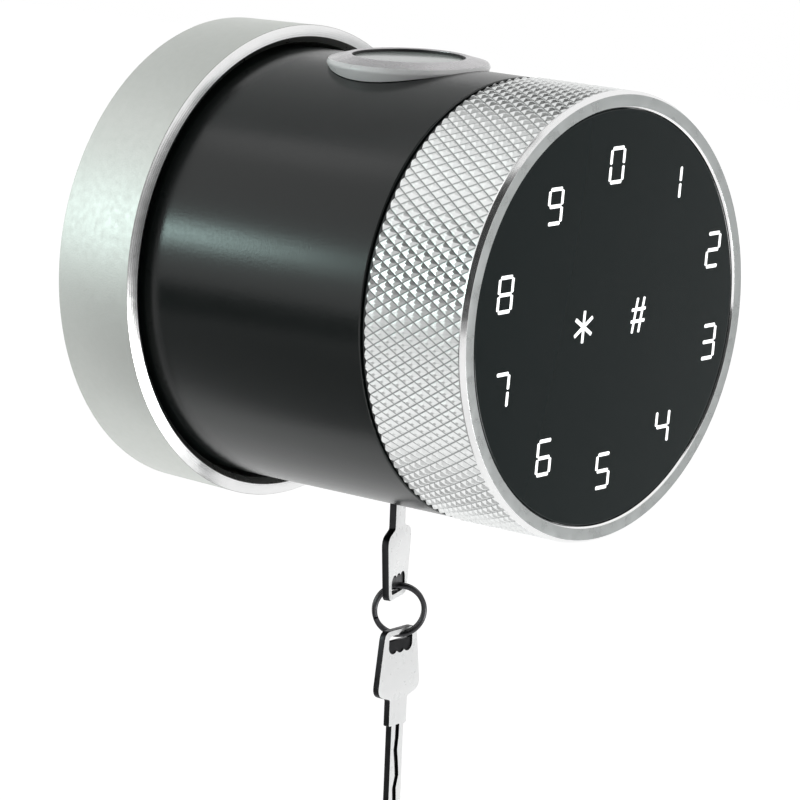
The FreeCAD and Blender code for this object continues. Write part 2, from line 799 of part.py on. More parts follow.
def make_collar():
    bore = "shaft_radius + fit_gap"
    outline = [
        (bore, "collar_back_depth"),
        ("collar_radius", "collar_back_depth"),
        ("collar_radius", GROOVE_BACK),
        ("groove_radius", GROOVE_BACK),
        ("groove_radius", GROOVE_BACK + " + groove_width"),
        ("collar_radius", GROOVE_BACK + " + groove_width"),
        ("collar_radius", "collar_back_depth + collar_length"),
        (bore, "collar_back_depth + collar_length"),
    ]
    sleeve = place(turned("collar sleeve", outline))
    dog_top = "(hub_front_depth + clutch_gap)"
    dog_length = f"(collar_back_depth - {dog_top})"
    dogs = []
    keys = []
    for side in (-1, 1):
        inner = "(shaft_radius + fit_gap)"
        centre = f"{side} * ({inner} + collar_radius) / 2"
        width = f"(collar_radius - {inner} - dog_inset)"
        dogs.append(box(f"dog {side}", width, dog_length + " + dog_overlap", "dog_width", centre,
                        "-collar_back_depth - dog_overlap", "-dog_width / 2"))
        flat_depth = "(shaft_radius - shaft_flats / 2)"
        flat_centre = f"{side} * (shaft_flats / 2 + fit_gap + {flat_depth} / 2)"
        keys.append(box(f"collar flat {side}", flat_depth, "collar_length", "2 * (shaft_nose_radius - collar_flat_inset)",
                        flat_centre, "-collar_back_depth - collar_length", "-shaft_nose_radius + collar_flat_inset"))
    part(joined("clutch_collar", [sleeve] + dogs + keys))


def make_fork():
    outline = [
        ("-fork_half_width", "-fork_bottom"),
        ("fork_ear", "-fork_bottom"),
        ("fork_ear", "fork_top"),
        ("groove_radius + fork_gap", "fork_top"),
        ("groove_radius + fork_gap", "0"),
        ("-groove_radius - fork_gap", "0"),
        ("-groove_radius - fork_gap", "fork_top"),
        ("-fork_prong", "fork_top"),
        ("-fork_prong", "-fork_shelf"),
        ("-fork_half_width", "-fork_shelf"),
    ]
    holes = [
        ("-rod_offset", "-rod_drop", "rod_radius + fit_gap"),
        ("rod_offset", "-rod_drop", "rod_radius + fit_gap"),
        ("motor_offset", "0", "motor_screw_radius + fit_gap"),
    ]
    blank = place(padded("fork blank", outline, FORK_BACK, FORK_THICKNESS, holes))
    seat = cylinder("fork seat", "groove_radius + fork_gap", FORK_THICKNESS, y="-" + FORK_BACK)
    plate = cut("fork plate", blank, [seat])
    tab_front = f"({CYLINDER_DEPTH} - cam_base - cam_gap)"
    tab_length = f"({tab_front} - {FORK_BACK})"
    tab = box("fork tab", "tab_width", tab_length, "cam_thickness", "0", "-" + tab_front,
              f"-{CYLINDER_TOP} + cam_gap")
    part(joined("clutch_fork", [plate, tab]))
    coil = [
        ("return_coil_bore", BRIDGE_FRONT + " + fork_gap"),
        ("return_coil_radius", BRIDGE_FRONT + " + fork_gap"),
        ("return_coil_radius", FORK_BACK + " - fork_gap"),
        ("return_coil_bore", FORK_BACK + " - fork_gap"),
    ]
    part(place(turned("fork_spring", coil), x="-rod_offset", z="-rod_drop"))


def make_motor():
    motor_back = f"({BULKHEAD_BACK} - motor_length)"
    part(box("clutch_motor", "motor_width", "motor_length", "motor_height", "motor_offset",
             "-" + BULKHEAD_BACK, "-motor_height / 2"))
    part(cylinder("motor_screw", "motor_screw_radius", f"{motor_back} - fit_gap - motor_screw_end_depth",
                  x="motor_offset", y="-motor_screw_end_depth"))
    part(box("control_board", "board_thickness", BULKHEAD_BACK + " - board_back_depth", "board_height",
             "-board_offset", "-" + BULKHEAD_BACK, "-board_height / 2"))


# Fingerprint reader on top of the barrel

def barrel_surface(label):
    """The space inside the barrel's outer face, which shapes a saddle on a round piece."""
    return cylinder(label, "barrel_radius", BARREL_FRONT)


def make_reader():
    cap = [
        ("bezel_bore_radius", "barrel_radius - bezel_skirt_drop"),
        ("bezel_foot_radius", "barrel_radius - bezel_skirt_drop"),
        ("bezel_radius", "barrel_radius - bezel_edge_drop"),
        ("bezel_radius - bezel_corner_inset", "barrel_radius + bezel_corner_rise"),
        ("bezel_knee_radius", "barrel_radius + bezel_knee_rise"),
        ("bezel_crest_radius", "barrel_radius + bezel_crest_rise"),
        ("bezel_bore_radius", "barrel_radius + bezel_bore_rise"),
    ]
    cap_blank = place(turned("bezel cap blank", cap), UP, y="-reader_depth")
    saddle = cut("bezel cap", cap_blank, [barrel_surface("barrel face under bezel")])
    neck = [
        ("bezel_bore_radius", "barrel_radius - neck_drop"),
        ("neck_radius", "barrel_radius - neck_drop"),
        ("neck_radius", "barrel_radius + fit_gap"),
        ("bezel_bore_radius", "barrel_radius + fit_gap"),
    ]
    part(joined("sensor_bezel", [saddle, place(turned("bezel neck", neck), UP, y="-reader_depth")]))
    window_bottom = "barrel_radius + window_rise - window_thickness"
    part(cylinder("sensor_window", "window_radius", "window_thickness", UP, y="-reader_depth", z=window_bottom))
    part(cylinder("sensor_module", "bezel_bore_radius - fit_gap", f"{window_bottom} - (barrel_radius - module_drop)", UP,
                  y="-reader_depth", z="barrel_radius - module_drop"))
    seat = "(sqrt((barrel_radius - barrel_wall)^2 - reader_nut_radius^2) - fit_gap)"
    nut = [
        ("neck_radius + fit_gap", seat + " - reader_nut_thickness"),
        ("reader_nut_radius", seat + " - reader_nut_thickness"),
        ("reader_nut_radius", seat),
        ("neck_radius + fit_gap", seat),
    ]
    part(place(turned("sensor_nut", nut), UP, y="-reader_depth"))


# Key cylinder in the underside: housing, nut, plug, cam and clip

def make_cylinder():
    tube = [
        ("plug_radius + fit_gap", CYLINDER_TOP),
        ("cylinder_radius", CYLINDER_TOP),
        ("cylinder_radius", CYLINDER_FACE),
        ("plug_radius + fit_gap", CYLINDER_FACE),
    ]
    part(place(turned("cylinder_housing", tube), DOWN, y="-" + CYLINDER_DEPTH))
    seat = "(sqrt((barrel_radius - barrel_wall)^2 - cylinder_nut_radius^2) - fit_gap)"
    nut = [
        ("cylinder_radius + fit_gap", seat + " - cylinder_nut_thickness"),
        ("cylinder_nut_radius", seat + " - cylinder_nut_thickness"),
        ("cylinder_nut_radius", seat),
        ("cylinder_radius + fit_gap", seat),
    ]
    part(place(turned("cylinder_nut", nut), DOWN, y="-" + CYLINDER_DEPTH))


CAM_BOTTOM = f"({CYLINDER_TOP} - cam_gap)"
CAM_TOP = f"({CAM_BOTTOM} - cam_thickness)"


def make_plug():
    face = f"({CYLINDER_FACE} - plug_recess)"
    tail_end = f"({CAM_TOP} - cam_clip_thickness - fit_gap)"
    outline = [
        ("0", tail_end),
        ("plug_tail_radius", tail_end),
        ("plug_tail_radius", CYLINDER_TOP),
        ("plug_radius", CYLINDER_TOP),
        ("plug_radius", face),
        ("0", face),
    ]
    blank = place(turned("plug blank", outline), DOWN, y="-" + CYLINDER_DEPTH)
    keyway = box("keyway", "blade_width + 2 * key_slot_gap", "key_thickness + 2 * key_slot_gap",
                 f"{face} - {BLADE_END} + key_slot_gap", "0", "0", f"-{face}")
    keyway.setExpression("Placement.Base.y", bound(f"-{CYLINDER_DEPTH} - key_thickness / 2 - key_slot_gap"))
    turned_keyway = about_cylinder("turned keyway", keyway)
    part(cut("cylinder_plug", blank, [turned_keyway]))
    clip = [
        ("plug_tail_radius + fit_gap", CAM_TOP + " - cam_clip_thickness"),
        ("cam_clip_radius", CAM_TOP + " - cam_clip_thickness"),
        ("cam_clip_radius", CAM_TOP + " - fit_gap"),
        ("plug_tail_radius + fit_gap", CAM_TOP + " - fit_gap"),
    ]
    part(place(turned("cam_clip", clip), DOWN, y="-" + CYLINDER_DEPTH))


def about_cylinder(label, source):
    """A copy of a shape turned about the key cylinder's axis to the key's angle."""
    doc.recompute()
    shape = source.Shape.copy()
    axis_point = FreeCAD.Vector(0, -value_of(CYLINDER_DEPTH), 0)
    shape.rotate(axis_point, FreeCAD.Vector(0, 0, 1), value_of("key_angle"))
    item = doc.addObject("Part::Feature", "Turned_" + label)
    item.Label = label
    item.Shape = shape
    return item


def cam_points():
    """The involute that lifts a flat follower evenly, then the boss behind it."""
    sweep = math.radians(value_of("cam_turn"))
    rate = value_of("cam_lift") / sweep
    base = value_of("cam_base")
    boss = value_of("cam_boss_radius")
    steps = int(value_of("cam_steps"))
    points = []
    for step in range(steps + 1):
        turn = sweep * step / steps
        angle = math.pi / 2 - turn
        reach = base + rate * turn
        x = reach * math.cos(angle) + rate * math.sin(angle)
        y = reach * math.sin(angle) - rate * math.cos(angle)
        points.append(FreeCAD.Vector(x, y, 0))
    for step in range(steps + 1):
        angle = -math.pi / 2 - math.pi * step / steps
        points.append(FreeCAD.Vector(boss * math.cos(angle), boss * math.sin(angle), 0))
    return points


def make_cam():
    points = cam_points()
    face = Part.Face(Part.makePolygon(points + [points[0]]))
    thickness = value_of("cam_thickness")
    bore = Part.makeCylinder(value_of("plug_tail_radius + fit_gap"), thickness)
    cam = doc.addObject("Part::Feature", "Cam")
    cam.Label = "key_cam"
    cam.Shape = face.extrude(FreeCAD.Vector(0, 0, thickness)).cut(bore)
    cam.Placement = FreeCAD.Placement()
    cam.setExpression("Placement.Base.y", bound("-" + CYLINDER_DEPTH))
    cam.setExpression("Placement.Base.z", bound("-" + CAM_BOTTOM))
    part(cam)


# Keys and the split ring that joins them

NECK_TOP = f"({CYLINDER_FACE} + key_standoff)"
BLADE_END = f"({NECK_TOP} - blade_length)"
KEY_DROP = f"({NECK_TOP} + neck_length + bow_length)"


def key_plate(label):
    """A key in its own frame: hole end at the origin, blade along its Z, face along Y."""
    body = new_body(label)
    sketch = new_sketch(body, "XZ_Plane", "Profile_" + label)
    shoulder = "bow_length"
    neck_end = "(bow_length + neck_length)"
    tip = "(bow_length + neck_length + blade_length)"
    half = [
        ("bow_end_width / 2 - bow_corner", "0"),
        ("bow_end_width / 2", "bow_corner"),
        ("bow_width / 2", "bow_length - bow_shoulder - bow_corner"),
        ("bow_width / 2 - bow_corner / 2", "bow_length - bow_shoulder"),
        ("neck_width / 2", shoulder),
        ("neck_width / 2", neck_end),
        ("blade_width / 2", neck_end),
        ("blade_width / 2", tip + " - blade_tip"),
    ]
    mirrored = [(f"-({x})", z) for x, z in reversed(half)]
    draw_outline(sketch, half + [("0", tip)] + mirrored)
    pad = body.newObject("PartDesign::Pad", "Pad_" + label)
    pad.Profile = sketch
    pad.setExpression("Length", bound("key_thickness"))
    pad.Midplane = True
    return body


def key_shape(label):
    """The key with its lobed hole and the wavy track milled into both faces."""
    blank = key_plate(label + " blank")
    doc.recompute()
    shape = blank.Shape.copy()
    lobe = value_of("key_hole_lobe")
    reach = value_of("key_hole_width") / 2 - lobe
    low = value_of("key_hole_rim") + lobe
    high = value_of("key_hole_rim + key_hole_height") - lobe
    thickness = value_of("key_thickness")
    along = FreeCAD.Vector(0, 1, 0)
    corner = FreeCAD.Vector(-reach - lobe, -thickness, low)
    hole = Part.makeBox(2 * (reach + lobe), 2 * thickness, high - low, corner)
    corner = FreeCAD.Vector(-reach, -thickness, low - lobe)
    hole = hole.fuse(Part.makeBox(2 * reach, 2 * thickness, lobe, corner))
    for offset in (-reach, 0, reach):
        for height in (low, high):
            start = FreeCAD.Vector(offset, -thickness, height)
            hole = hole.fuse(Part.makeCylinder(lobe, 2 * thickness, start, along))
    return shape.cut(hole.removeSplitter()).cut(track_shape())


# How far the track sways to either side, station by station along the blade
TRACK_SWAYS = [0.0, 0.0, 0.35, -0.3, 0.3, -0.1, 0.25, 0.0]


def track_shape():
    """A shallow milled groove that wanders along the blade, on both faces."""
    start = value_of("bow_length + neck_length")
    length = value_of("blade_length")
    half = value_of("key_track_width") / 2
    depth = value_of("key_track_depth")
    thickness = value_of("key_thickness")
    step = length / len(TRACK_SWAYS)
    left = []
    right = []
    for index, offset in enumerate(TRACK_SWAYS):
        height = start + step * (index + 0.5)
        left.append(FreeCAD.Vector(offset - half, 0, height))
        right.append(FreeCAD.Vector(offset + half, 0, height))
    end = start + length + half
    left.append(FreeCAD.Vector(-half, 0, end))
    right.append(FreeCAD.Vector(half, 0, end))
    points = left + right[::-1]
    face = Part.Face(Part.makePolygon(points + [points[0]]))
    cuts = []
    for side in (-1, 1):
        prism = face.extrude(FreeCAD.Vector(0, side * depth * 2, 0))
        prism.translate(FreeCAD.Vector(0, side * (thickness / 2 - depth), 0))
        cuts.append(prism)
    return Part.makeCompound(cuts)


def key_item(label, rotation, base):
    item = doc.addObject("Part::Feature", "Key_" + label)
    item.Label = label
    item.Shape = key_shape(label)
    item.Placement = FreeCAD.Placement(base, rotation)
    part(item)


def ring_centre():
    """The ring hangs from the rim of the inserted key's hole, a little to one side."""
    x = "ring_side * cos(key_angle * 1 deg) + ring_lean * cos(ring_angle * 1 deg)"
    y = "ring_side * sin(key_angle * 1 deg) - ring_lean * sin(ring_angle * 1 deg)"
    top = f"key_hole_rim + ring_hang + ring_wire - {KEY_DROP}"
    return FreeCAD.Vector(value_of(x), value_of(y) - value_of(CYLINDER_DEPTH), value_of(f"{top} - ring_radius"))


def make_keys():
    upright = FreeCAD.Rotation(FreeCAD.Vector(0, 0, 1), value_of("key_angle"))
    base = FreeCAD.Vector(0, -value_of(CYLINDER_DEPTH), -value_of(KEY_DROP))
    key_item("inserted_key", upright, base)

    centre = ring_centre()
    radius = value_of("ring_radius")
    wire = value_of("ring_wire")
    share = value_of("ring_turn_share")
    turns = []
    for side in (-1, 1):
        turn = Part.makeTorus(radius - wire / 2, wire / 2, FreeCAD.Vector(0, 0, side * wire * share),
                              FreeCAD.Vector(0, 0, 1))
        turns.append(turn)
    ring = doc.addObject("Part::Feature", "Ring")
    ring.Label = "key_ring"
    ring.Shape = turns[0].fuse(turns[1])
    flat = FreeCAD.Rotation(FreeCAD.Vector(0, 0, 1), -value_of("ring_angle"))
    ring.Placement = FreeCAD.Placement(centre, flat * FRONT)
    part(ring)

    hanging = FreeCAD.Rotation(FreeCAD.Vector(0, 0, 1), value_of("spare_key_angle")) * FreeCAD.Rotation(
        FreeCAD.Vector(0, 1, 0), 180)
    top = centre.z - radius + wire + value_of("ring_hang") + value_of("key_hole_rim")
    key_item("spare_key", hanging, FreeCAD.Vector(centre.x, centre.y, top))


make_rose()
make_gasket()
make_mounting_plate()
make_barrel()
make_bulkhead()
make_head()
make_shaft()
make_hub()
make_bridge()
make_collar()
make_fork()
make_motor()
make_reader()
make_cylinder()
make_plug()
make_cam()
make_keys()

doc.recompute()

# Checks before anything is written

for item in doc.Objects:
    if "Invalid" in item.State or "Error" in item.State:
        raise RuntimeError(f"{item.Label} failed: {item.State}")
for item in CUTS:
    if item.Shape.Volume >= item.Base.Shape.Volume - 1e-6:
        raise RuntimeError(f"{item.Label} lost nothing to its tools")
for item in PARTS:
    if item.Shape.isNull() or not item.Shape.isValid() or not item.Shape.Solids:
        raise RuntimeError(f"{item.Label} is not a valid solid")

for item in PARTS:
    item.Shape.exportStep(f"parts/{item.Label}.step")
print(len(PARTS), "sub-parts written")
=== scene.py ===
import math

import bmesh
import bpy
from mathutils import Matrix, Vector


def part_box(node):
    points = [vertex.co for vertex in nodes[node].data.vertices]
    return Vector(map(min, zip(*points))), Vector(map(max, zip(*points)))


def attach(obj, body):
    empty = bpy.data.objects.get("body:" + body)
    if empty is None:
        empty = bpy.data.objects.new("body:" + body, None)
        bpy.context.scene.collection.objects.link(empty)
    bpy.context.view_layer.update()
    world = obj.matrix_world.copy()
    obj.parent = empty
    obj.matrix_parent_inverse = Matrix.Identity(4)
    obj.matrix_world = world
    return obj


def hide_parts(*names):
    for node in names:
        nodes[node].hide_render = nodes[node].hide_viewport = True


# Fingerprint door lock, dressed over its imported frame.
# The knob's axis is Y, the front looks along -Y, +Z is up. Lengths are in metres;
# "depth" is the distance in front of the door and MM turns millimetres to metres.

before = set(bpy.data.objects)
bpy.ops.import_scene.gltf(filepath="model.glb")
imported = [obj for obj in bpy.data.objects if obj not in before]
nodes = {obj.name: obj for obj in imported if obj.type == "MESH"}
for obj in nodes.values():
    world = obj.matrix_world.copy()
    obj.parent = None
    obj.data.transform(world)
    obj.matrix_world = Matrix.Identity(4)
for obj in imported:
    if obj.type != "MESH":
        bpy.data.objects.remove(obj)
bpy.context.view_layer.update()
scene = bpy.context.scene

MM = 0.001


# Sizes read from the frame

def reach(node, axis=0):
    """How far a node stands out from the frame's zero along an axis."""
    return max(abs(value) for value in (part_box(node)[0][axis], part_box(node)[1][axis]))


def depths(node):
    """A node's back and front depth."""
    return -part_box(node)[1][1], -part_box(node)[0][1]


ROSE_RADIUS = reach("rose_cover")
ROSE_FRONT = depths("rose_cover")[1]
BARREL_RADIUS = reach("barrel")
BARREL_FRONT = depths("barrel")[1]
HEAD_RADIUS = reach("knurled_ring")
HEAD_BACK, HEAD_FRONT = depths("knurled_ring")
GLASS_RADIUS = reach("glass_panel")
GLASS_BACK, GLASS_FRONT = depths("glass_panel")
BEZEL_RADIUS = reach("sensor_bezel")
BEZEL_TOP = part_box("sensor_bezel")[1][2]
READER_Y = (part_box("sensor_bezel")[0][1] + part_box("sensor_bezel")[1][1]) / 2
WINDOW_RADIUS = reach("sensor_window")
WINDOW_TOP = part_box("sensor_window")[1][2]
PLUG_Y = (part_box("cylinder_plug")[0][1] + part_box("cylinder_plug")[1][1]) / 2


# Camera at the photograph's view

CAMERA_AZIMUTH = math.radians(-50.377)
CAMERA_ELEVATION = math.radians(11.198)
CAMERA_ROLL = math.radians(2.312)
CAMERA_DISTANCE = 745.56 * MM
CAMERA_TARGET = Vector((0.886 * MM, -40.160 * MM, -20.019 * MM))
CAMERA_LENS = 203.17


def make_camera():
    level = math.cos(CAMERA_ELEVATION)
    height = math.sin(CAMERA_ELEVATION)
    back = Vector((math.sin(CAMERA_AZIMUTH) * level, -math.cos(CAMERA_AZIMUTH) * level, height))
    side = Vector((math.cos(CAMERA_AZIMUTH), math.sin(CAMERA_AZIMUTH), 0))
    lift = back.cross(side)
    right = side * math.cos(CAMERA_ROLL) + lift * math.sin(CAMERA_ROLL)
    up = lift * math.cos(CAMERA_ROLL) - side * math.sin(CAMERA_ROLL)
    data = bpy.data.cameras.new("camera")
    data.lens = CAMERA_LENS
    data.sensor_width = 36
    data.clip_start = 0.01
    camera = bpy.data.objects.new("camera", data)
    turn = Matrix((right, up, back)).transposed().to_4x4()
    camera.matrix_world = Matrix.Translation(CAMERA_TARGET + back * CAMERA_DISTANCE) @ turn
    scene.collection.objects.link(camera)
    scene.camera = camera


# Mesh helpers

def add_object(name, mesh):
    item = bpy.data.objects.new(name, mesh)
    scene.collection.objects.link(item)
    return item


def finish_mesh(name, bm, sharp=30):
    """A shaded object from a bmesh, with edges sharper than the angle kept crisp."""
    bmesh.ops.recalc_face_normals(bm, faces=bm.faces)
    mesh = bpy.data.meshes.new(name)
    bm.to_mesh(mesh)
    bm.free()
    mesh.polygons.foreach_set("use_smooth", [True] * len(mesh.polygons))
    mesh.set_sharp_from_angle(angle=math.radians(sharp))
    return add_object(name, mesh)


def wear(piece, body, material_slot, material, *replaced):
    """Gives a piece its body, its material and the nodes it stands for."""
    if material is not None:
        piece.data.materials.clear()
        piece.data.materials.append(material)
    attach(piece, body)
    if replaced:
        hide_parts(*replaced)
    return piece


def rounded(corners, steps=4):
    """A closed outline whose corners (x, y, radius) become short arcs."""
    points = []
    count = len(corners)
    for index, (x, y, radius) in enumerate(corners):
        here = Vector((x, y))
        if radius <= 0:
            points.append(here)
            continue
        before = Vector(corners[index - 1][:2]) - here
        after = Vector(corners[(index + 1) % count][:2]) - here
        angle = before.angle(after)
        length = radius / math.tan(angle / 2)
        length = min(length, before.length * 0.49, after.length * 0.49)
        start = here + before.normalized() * length
        end = here + after.normalized() * length
        for step in range(steps + 1):
            share = step / steps
            points.append(start.lerp(here, share).lerp(here.lerp(end, share), share))
    return points


def front_point(radius, depth, angle):
    """A point at a radius and depth, at an angle clockwise from the top seen from the front."""
    return Vector((radius * math.sin(angle), -depth, radius * math.cos(angle)))


def up_point(radius, height, angle):
    return Vector((radius * math.sin(angle), radius * math.cos(angle), height))


def lathe(name, outline, segments=256, place=front_point, sharp=30):
    """A turned solid from a closed outline of (radius, height)."""
    bm = bmesh.new()
    rings = []
    for radius, height in outline:
        if radius < 1e-7:
            rings.append([bm.verts.new(place(0, height, 0))] * segments)
        else:
            angles = [math.tau * k / segments for k in range(segments)]
            rings.append([bm.verts.new(place(radius, height, angle)) for angle in angles])
    for index, ring in enumerate(rings):
        following = rings[(index + 1) % len(rings)]
        for k in range(segments):
            near = (k + 1) % segments
            corners = []
            for vertex in (ring[k], ring[near], following[near], following[k]):
                if vertex not in corners:
                    corners.append(vertex)
            if len(corners) > 2:
                bm.faces.new(corners)
    return finish_mesh(name, bm, sharp)


def slab(bm, outline, depth_back, depth_front):
    """A flat plate in the front plane from an outline of (x, z)."""
    back = [bm.verts.new((x, -depth_back, z)) for x, z in outline]
    front = [bm.verts.new((x, -depth_front, z)) for x, z in outline]
    bm.faces.new(front)
    bm.faces.new(back[::-1])
    for index in range(len(outline)):
        near = (index + 1) % len(outline)
        bm.faces.new((back[index], back[near], front[near], front[index]))


# Material helpers

def new_material(name, color, roughness, metallic=0.0, **settings):
    material = bpy.data.materials.new(name)
    material.use_nodes = True
    shader = material.node_tree.nodes["Principled BSDF"]
    shader.inputs["Base Color"].default_value = (*color, 1)
    shader.inputs["Roughness"].default_value = roughness
    shader.inputs["Metallic"].default_value = metallic
    for key, value in settings.items():
        shader.inputs[key.replace("_", " ")].default_value = value
    return material


def add_node(material, kind, **settings):
    node = material.node_tree.nodes.new(kind)
    for key, value in settings.items():
        setattr(node, key, value)
    return node


def link(material, source, target):
    material.node_tree.links.new(source, target)


def noise(material, scale, detail=3.0, stretch=None):
    """Noise over the object's own coordinates, with scale in features per metre."""
    coordinates = add_node(material, "ShaderNodeTexCoord")
    texture = add_node(material, "ShaderNodeTexNoise")
    texture.inputs["Scale"].default_value = scale
    texture.inputs["Detail"].default_value = detail
    source = coordinates.outputs["Object"]
    if stretch:
        mapping = add_node(material, "ShaderNodeMapping")
        mapping.inputs["Scale"].default_value = stretch
        link(material, source, mapping.inputs["Vector"])
        source = mapping.outputs["Vector"]
    link(material, source, texture.inputs["Vector"])
    return texture.outputs["Fac"]


def spread(material, source, low, high):
    """Maps a texture's 0.3 to 0.7 to a range of values."""
    node = add_node(material, "ShaderNodeMapRange")
    node.inputs["From Min"].default_value = 0.3
    node.inputs["From Max"].default_value = 0.7
    node.inputs["To Min"].default_value = low
    node.inputs["To Max"].default_value = high
    link(material, source, node.inputs["Value"])
    return node.outputs["Result"]


def add_bump(material, source, distance, strength=1.0):
    shader = material.node_tree.nodes["Principled BSDF"]
    node = add_node(material, "ShaderNodeBump")
    node.inputs["Distance"].default_value = distance
    node.inputs["Strength"].default_value = strength
    link(material, source, node.inputs["Height"])
    link(material, node.outputs["Normal"], shader.inputs["Normal"])


def vary_roughness(material, source, low, high):
    shader = material.node_tree.nodes["Principled BSDF"]
    link(material, spread(material, source, low, high), shader.inputs["Roughness"])


def vary_color(material, source, low, high):
    shader = material.node_tree.nodes["Principled BSDF"]
    ramp = add_node(material, "ShaderNodeValToRGB")
    ramp.color_ramp.elements[0].position = 0.3
    ramp.color_ramp.elements[1].position = 0.7
    ramp.color_ramp.elements[0].color = (*low, 1)
    ramp.color_ramp.elements[1].color = (*high, 1)
    link(material, source, ramp.inputs["Fac"])
    link(material, ramp.outputs["Color"], shader.inputs["Base Color"])


def turned_rings(material, axis_scale, pitch=900.0):
    """Very fine concentric lathe lines about the knob's axis or the reader's."""
    coordinates = add_node(material, "ShaderNodeTexCoord")
    mapping = add_node(material, "ShaderNodeMapping")
    mapping.inputs["Scale"].default_value = axis_scale
    texture = add_node(material, "ShaderNodeTexWave", wave_type="RINGS", rings_direction="SPHERICAL")
    texture.inputs["Scale"].default_value = pitch
    texture.inputs["Distortion"].default_value = 0.6
    texture.inputs["Detail"].default_value = 1.0
    link(material, coordinates.outputs["Object"], mapping.inputs["Vector"])
    link(material, mapping.outputs["Vector"], texture.inputs["Vector"])
    return texture.outputs["Fac"]


# Materials

def blasted_aluminium():
    material = new_material("blasted aluminium", (0.70, 0.72, 0.69), 0.5, 1.0)
    vary_roughness(material, noise(material, 900, 4), 0.47, 0.57)
    add_bump(material, noise(material, 3200, 2), 0.00003, 0.7)
    return material


def bright_aluminium(name="bright turned aluminium", color=(0.86, 0.86, 0.86), roughness=0.2):
    material = new_material(name, color, roughness, 1.0)
    vary_roughness(material, noise(material, 500, 3), roughness * 0.8, roughness * 1.25)
    add_bump(material, turned_rings(material, (1, 0, 1)), 0.000004, 0.5)
    return material


def knurl_metal():
    """Bright crests over grooves painted darker towards their bottoms: painted shade in the grooves."""
    material = new_material("knurled aluminium with painted groove shade", (0.93, 0.94, 0.935), 0.32, 1.0)
    coordinates = add_node(material, "ShaderNodeTexCoord")
    flatten = add_node(material, "ShaderNodeVectorMath", operation="MULTIPLY")
    flatten.inputs[1].default_value = (1, 0, 1)
    radius = add_node(material, "ShaderNodeVectorMath", operation="LENGTH")
    # The base colour runs from grey at the groove bottoms to bright at the crests: painted shade in the
    # grooves.
    height = add_node(material, "ShaderNodeMapRange", interpolation_type="SMOOTHSTEP")
    height.inputs["From Min"].default_value = HEAD_RADIUS - KNURL_HEIGHT
    height.inputs["From Max"].default_value = HEAD_RADIUS - KNURL_HEIGHT * (1 - KNURL_GROOVE_SHADE_SHARE)
    ramp = add_node(material, "ShaderNodeMix", data_type="RGBA")
    ramp.inputs["A"].default_value = (0.34, 0.35, 0.35, 1)
    ramp.inputs["B"].default_value = (0.93, 0.94, 0.935, 1)
    link(material, coordinates.outputs["Object"], flatten.inputs[0])
    link(material, flatten.outputs[0], radius.inputs[0])
    link(material, radius.outputs["Value"], height.inputs["Value"])
    link(material, height.outputs["Result"], ramp.inputs["Factor"])
    link(material, ramp.outputs["Result"], material.node_tree.nodes["Principled BSDF"].inputs["Base Color"])
    vary_roughness(material, noise(material, 1500, 3), 0.28, 0.38)
    add_bump(material, noise(material, 4000, 2), 0.000012, 0.6)
    return material


def black_coating():
    material = new_material("black satin coating", (0.006, 0.009, 0.0085), 0.23, 0.0, Specular_IOR_Level=0.45)
    vary_roughness(material, noise(material, 2600, 2), 0.21, 0.26)
    add_bump(material, noise(material, 2600, 3), 0.00002, 0.6)
    return material


def bezel_band():
    """The bezel's brushed side, pale from every side."""
    material = new_material("reader bezel side", (0.95, 0.95, 0.95), 0.3, 0.05)
    vary_roughness(material, noise(material, 900, 3), 0.27, 0.34)
    return material


def touch_glass():
    material = new_material("black touch glass", (0.008, 0.013, 0.013), 0.06, 0.0, Specular_IOR_Level=0.22)
    vary_roughness(material, noise(material, 60, 4), 0.04, 0.09)
    return material


def lit_digit():
    material = new_material("lit digit", (0.9, 0.92, 0.92), 0.4)
    shader = material.node_tree.nodes["Principled BSDF"]
    shader.inputs["Emission Color"].default_value = (1.0, 1.0, 1.0, 1)
    shader.inputs["Emission Strength"].default_value = 0.9
    vary_roughness(material, noise(material, 4000, 1), 0.35, 0.45)
    return material


def reader_window():
    material = new_material("reader window", (0.33, 0.37, 0.35), 0.2, 0.0,
                            Coat_Weight=0.2, Coat_Roughness=0.05)
    vary_color(material, noise(material, 5000, 1), (0.31, 0.35, 0.33), (0.35, 0.39, 0.37))
    return material


def nickel(name="nickel", color=(0.84, 0.85, 0.85), roughness=0.2):
    material = new_material(name, color, roughness, 1.0)
    vary_roughness(material, noise(material, 700, 4), roughness * 0.75, roughness * 1.4)
    add_bump(material, noise(material, 2500, 3, (1, 1, 0.1)), 0.000006, 0.5)
    return material


def key_nickel():
    """A key's satin plating, pale from every side."""
    material = new_material("satin nickel", (0.94, 0.945, 0.945), 0.3, 0.1)
    vary_roughness(material, noise(material, 700, 4), 0.26, 0.34)
    return material


def plain_steel():
    material = new_material("plated steel", (0.56, 0.57, 0.58), 0.34, 1.0)
    vary_roughness(material, noise(material, 800, 4), 0.26, 0.44)
    add_bump(material, noise(material, 2400, 2), 0.000008, 0.5)
    return material


def dark_plastic():
    material = new_material("black moulded plastic", (0.02, 0.02, 0.021), 0.5)
    vary_roughness(material, noise(material, 700, 3), 0.42, 0.58)
    add_bump(material, noise(material, 1800, 3), 0.00003, 0.4)
    return material


def foam_rubber():
    material = new_material("black foam rubber", (0.018, 0.018, 0.018), 0.85)
    add_bump(material, noise(material, 2600, 4), 0.0001, 0.6)
    vary_roughness(material, noise(material, 900, 3), 0.78, 0.92)
    return material


def board_green():
    material = new_material("circuit board", (0.01, 0.12, 0.05), 0.4)
    vary_color(material, noise(material, 700, 5), (0.006, 0.09, 0.035), (0.016, 0.16, 0.07))
    return material


def brass_metal():
    material = new_material("brass", (0.72, 0.52, 0.24), 0.3, 1.0)
    vary_roughness(material, noise(material, 900, 3), 0.24, 0.38)
    return material


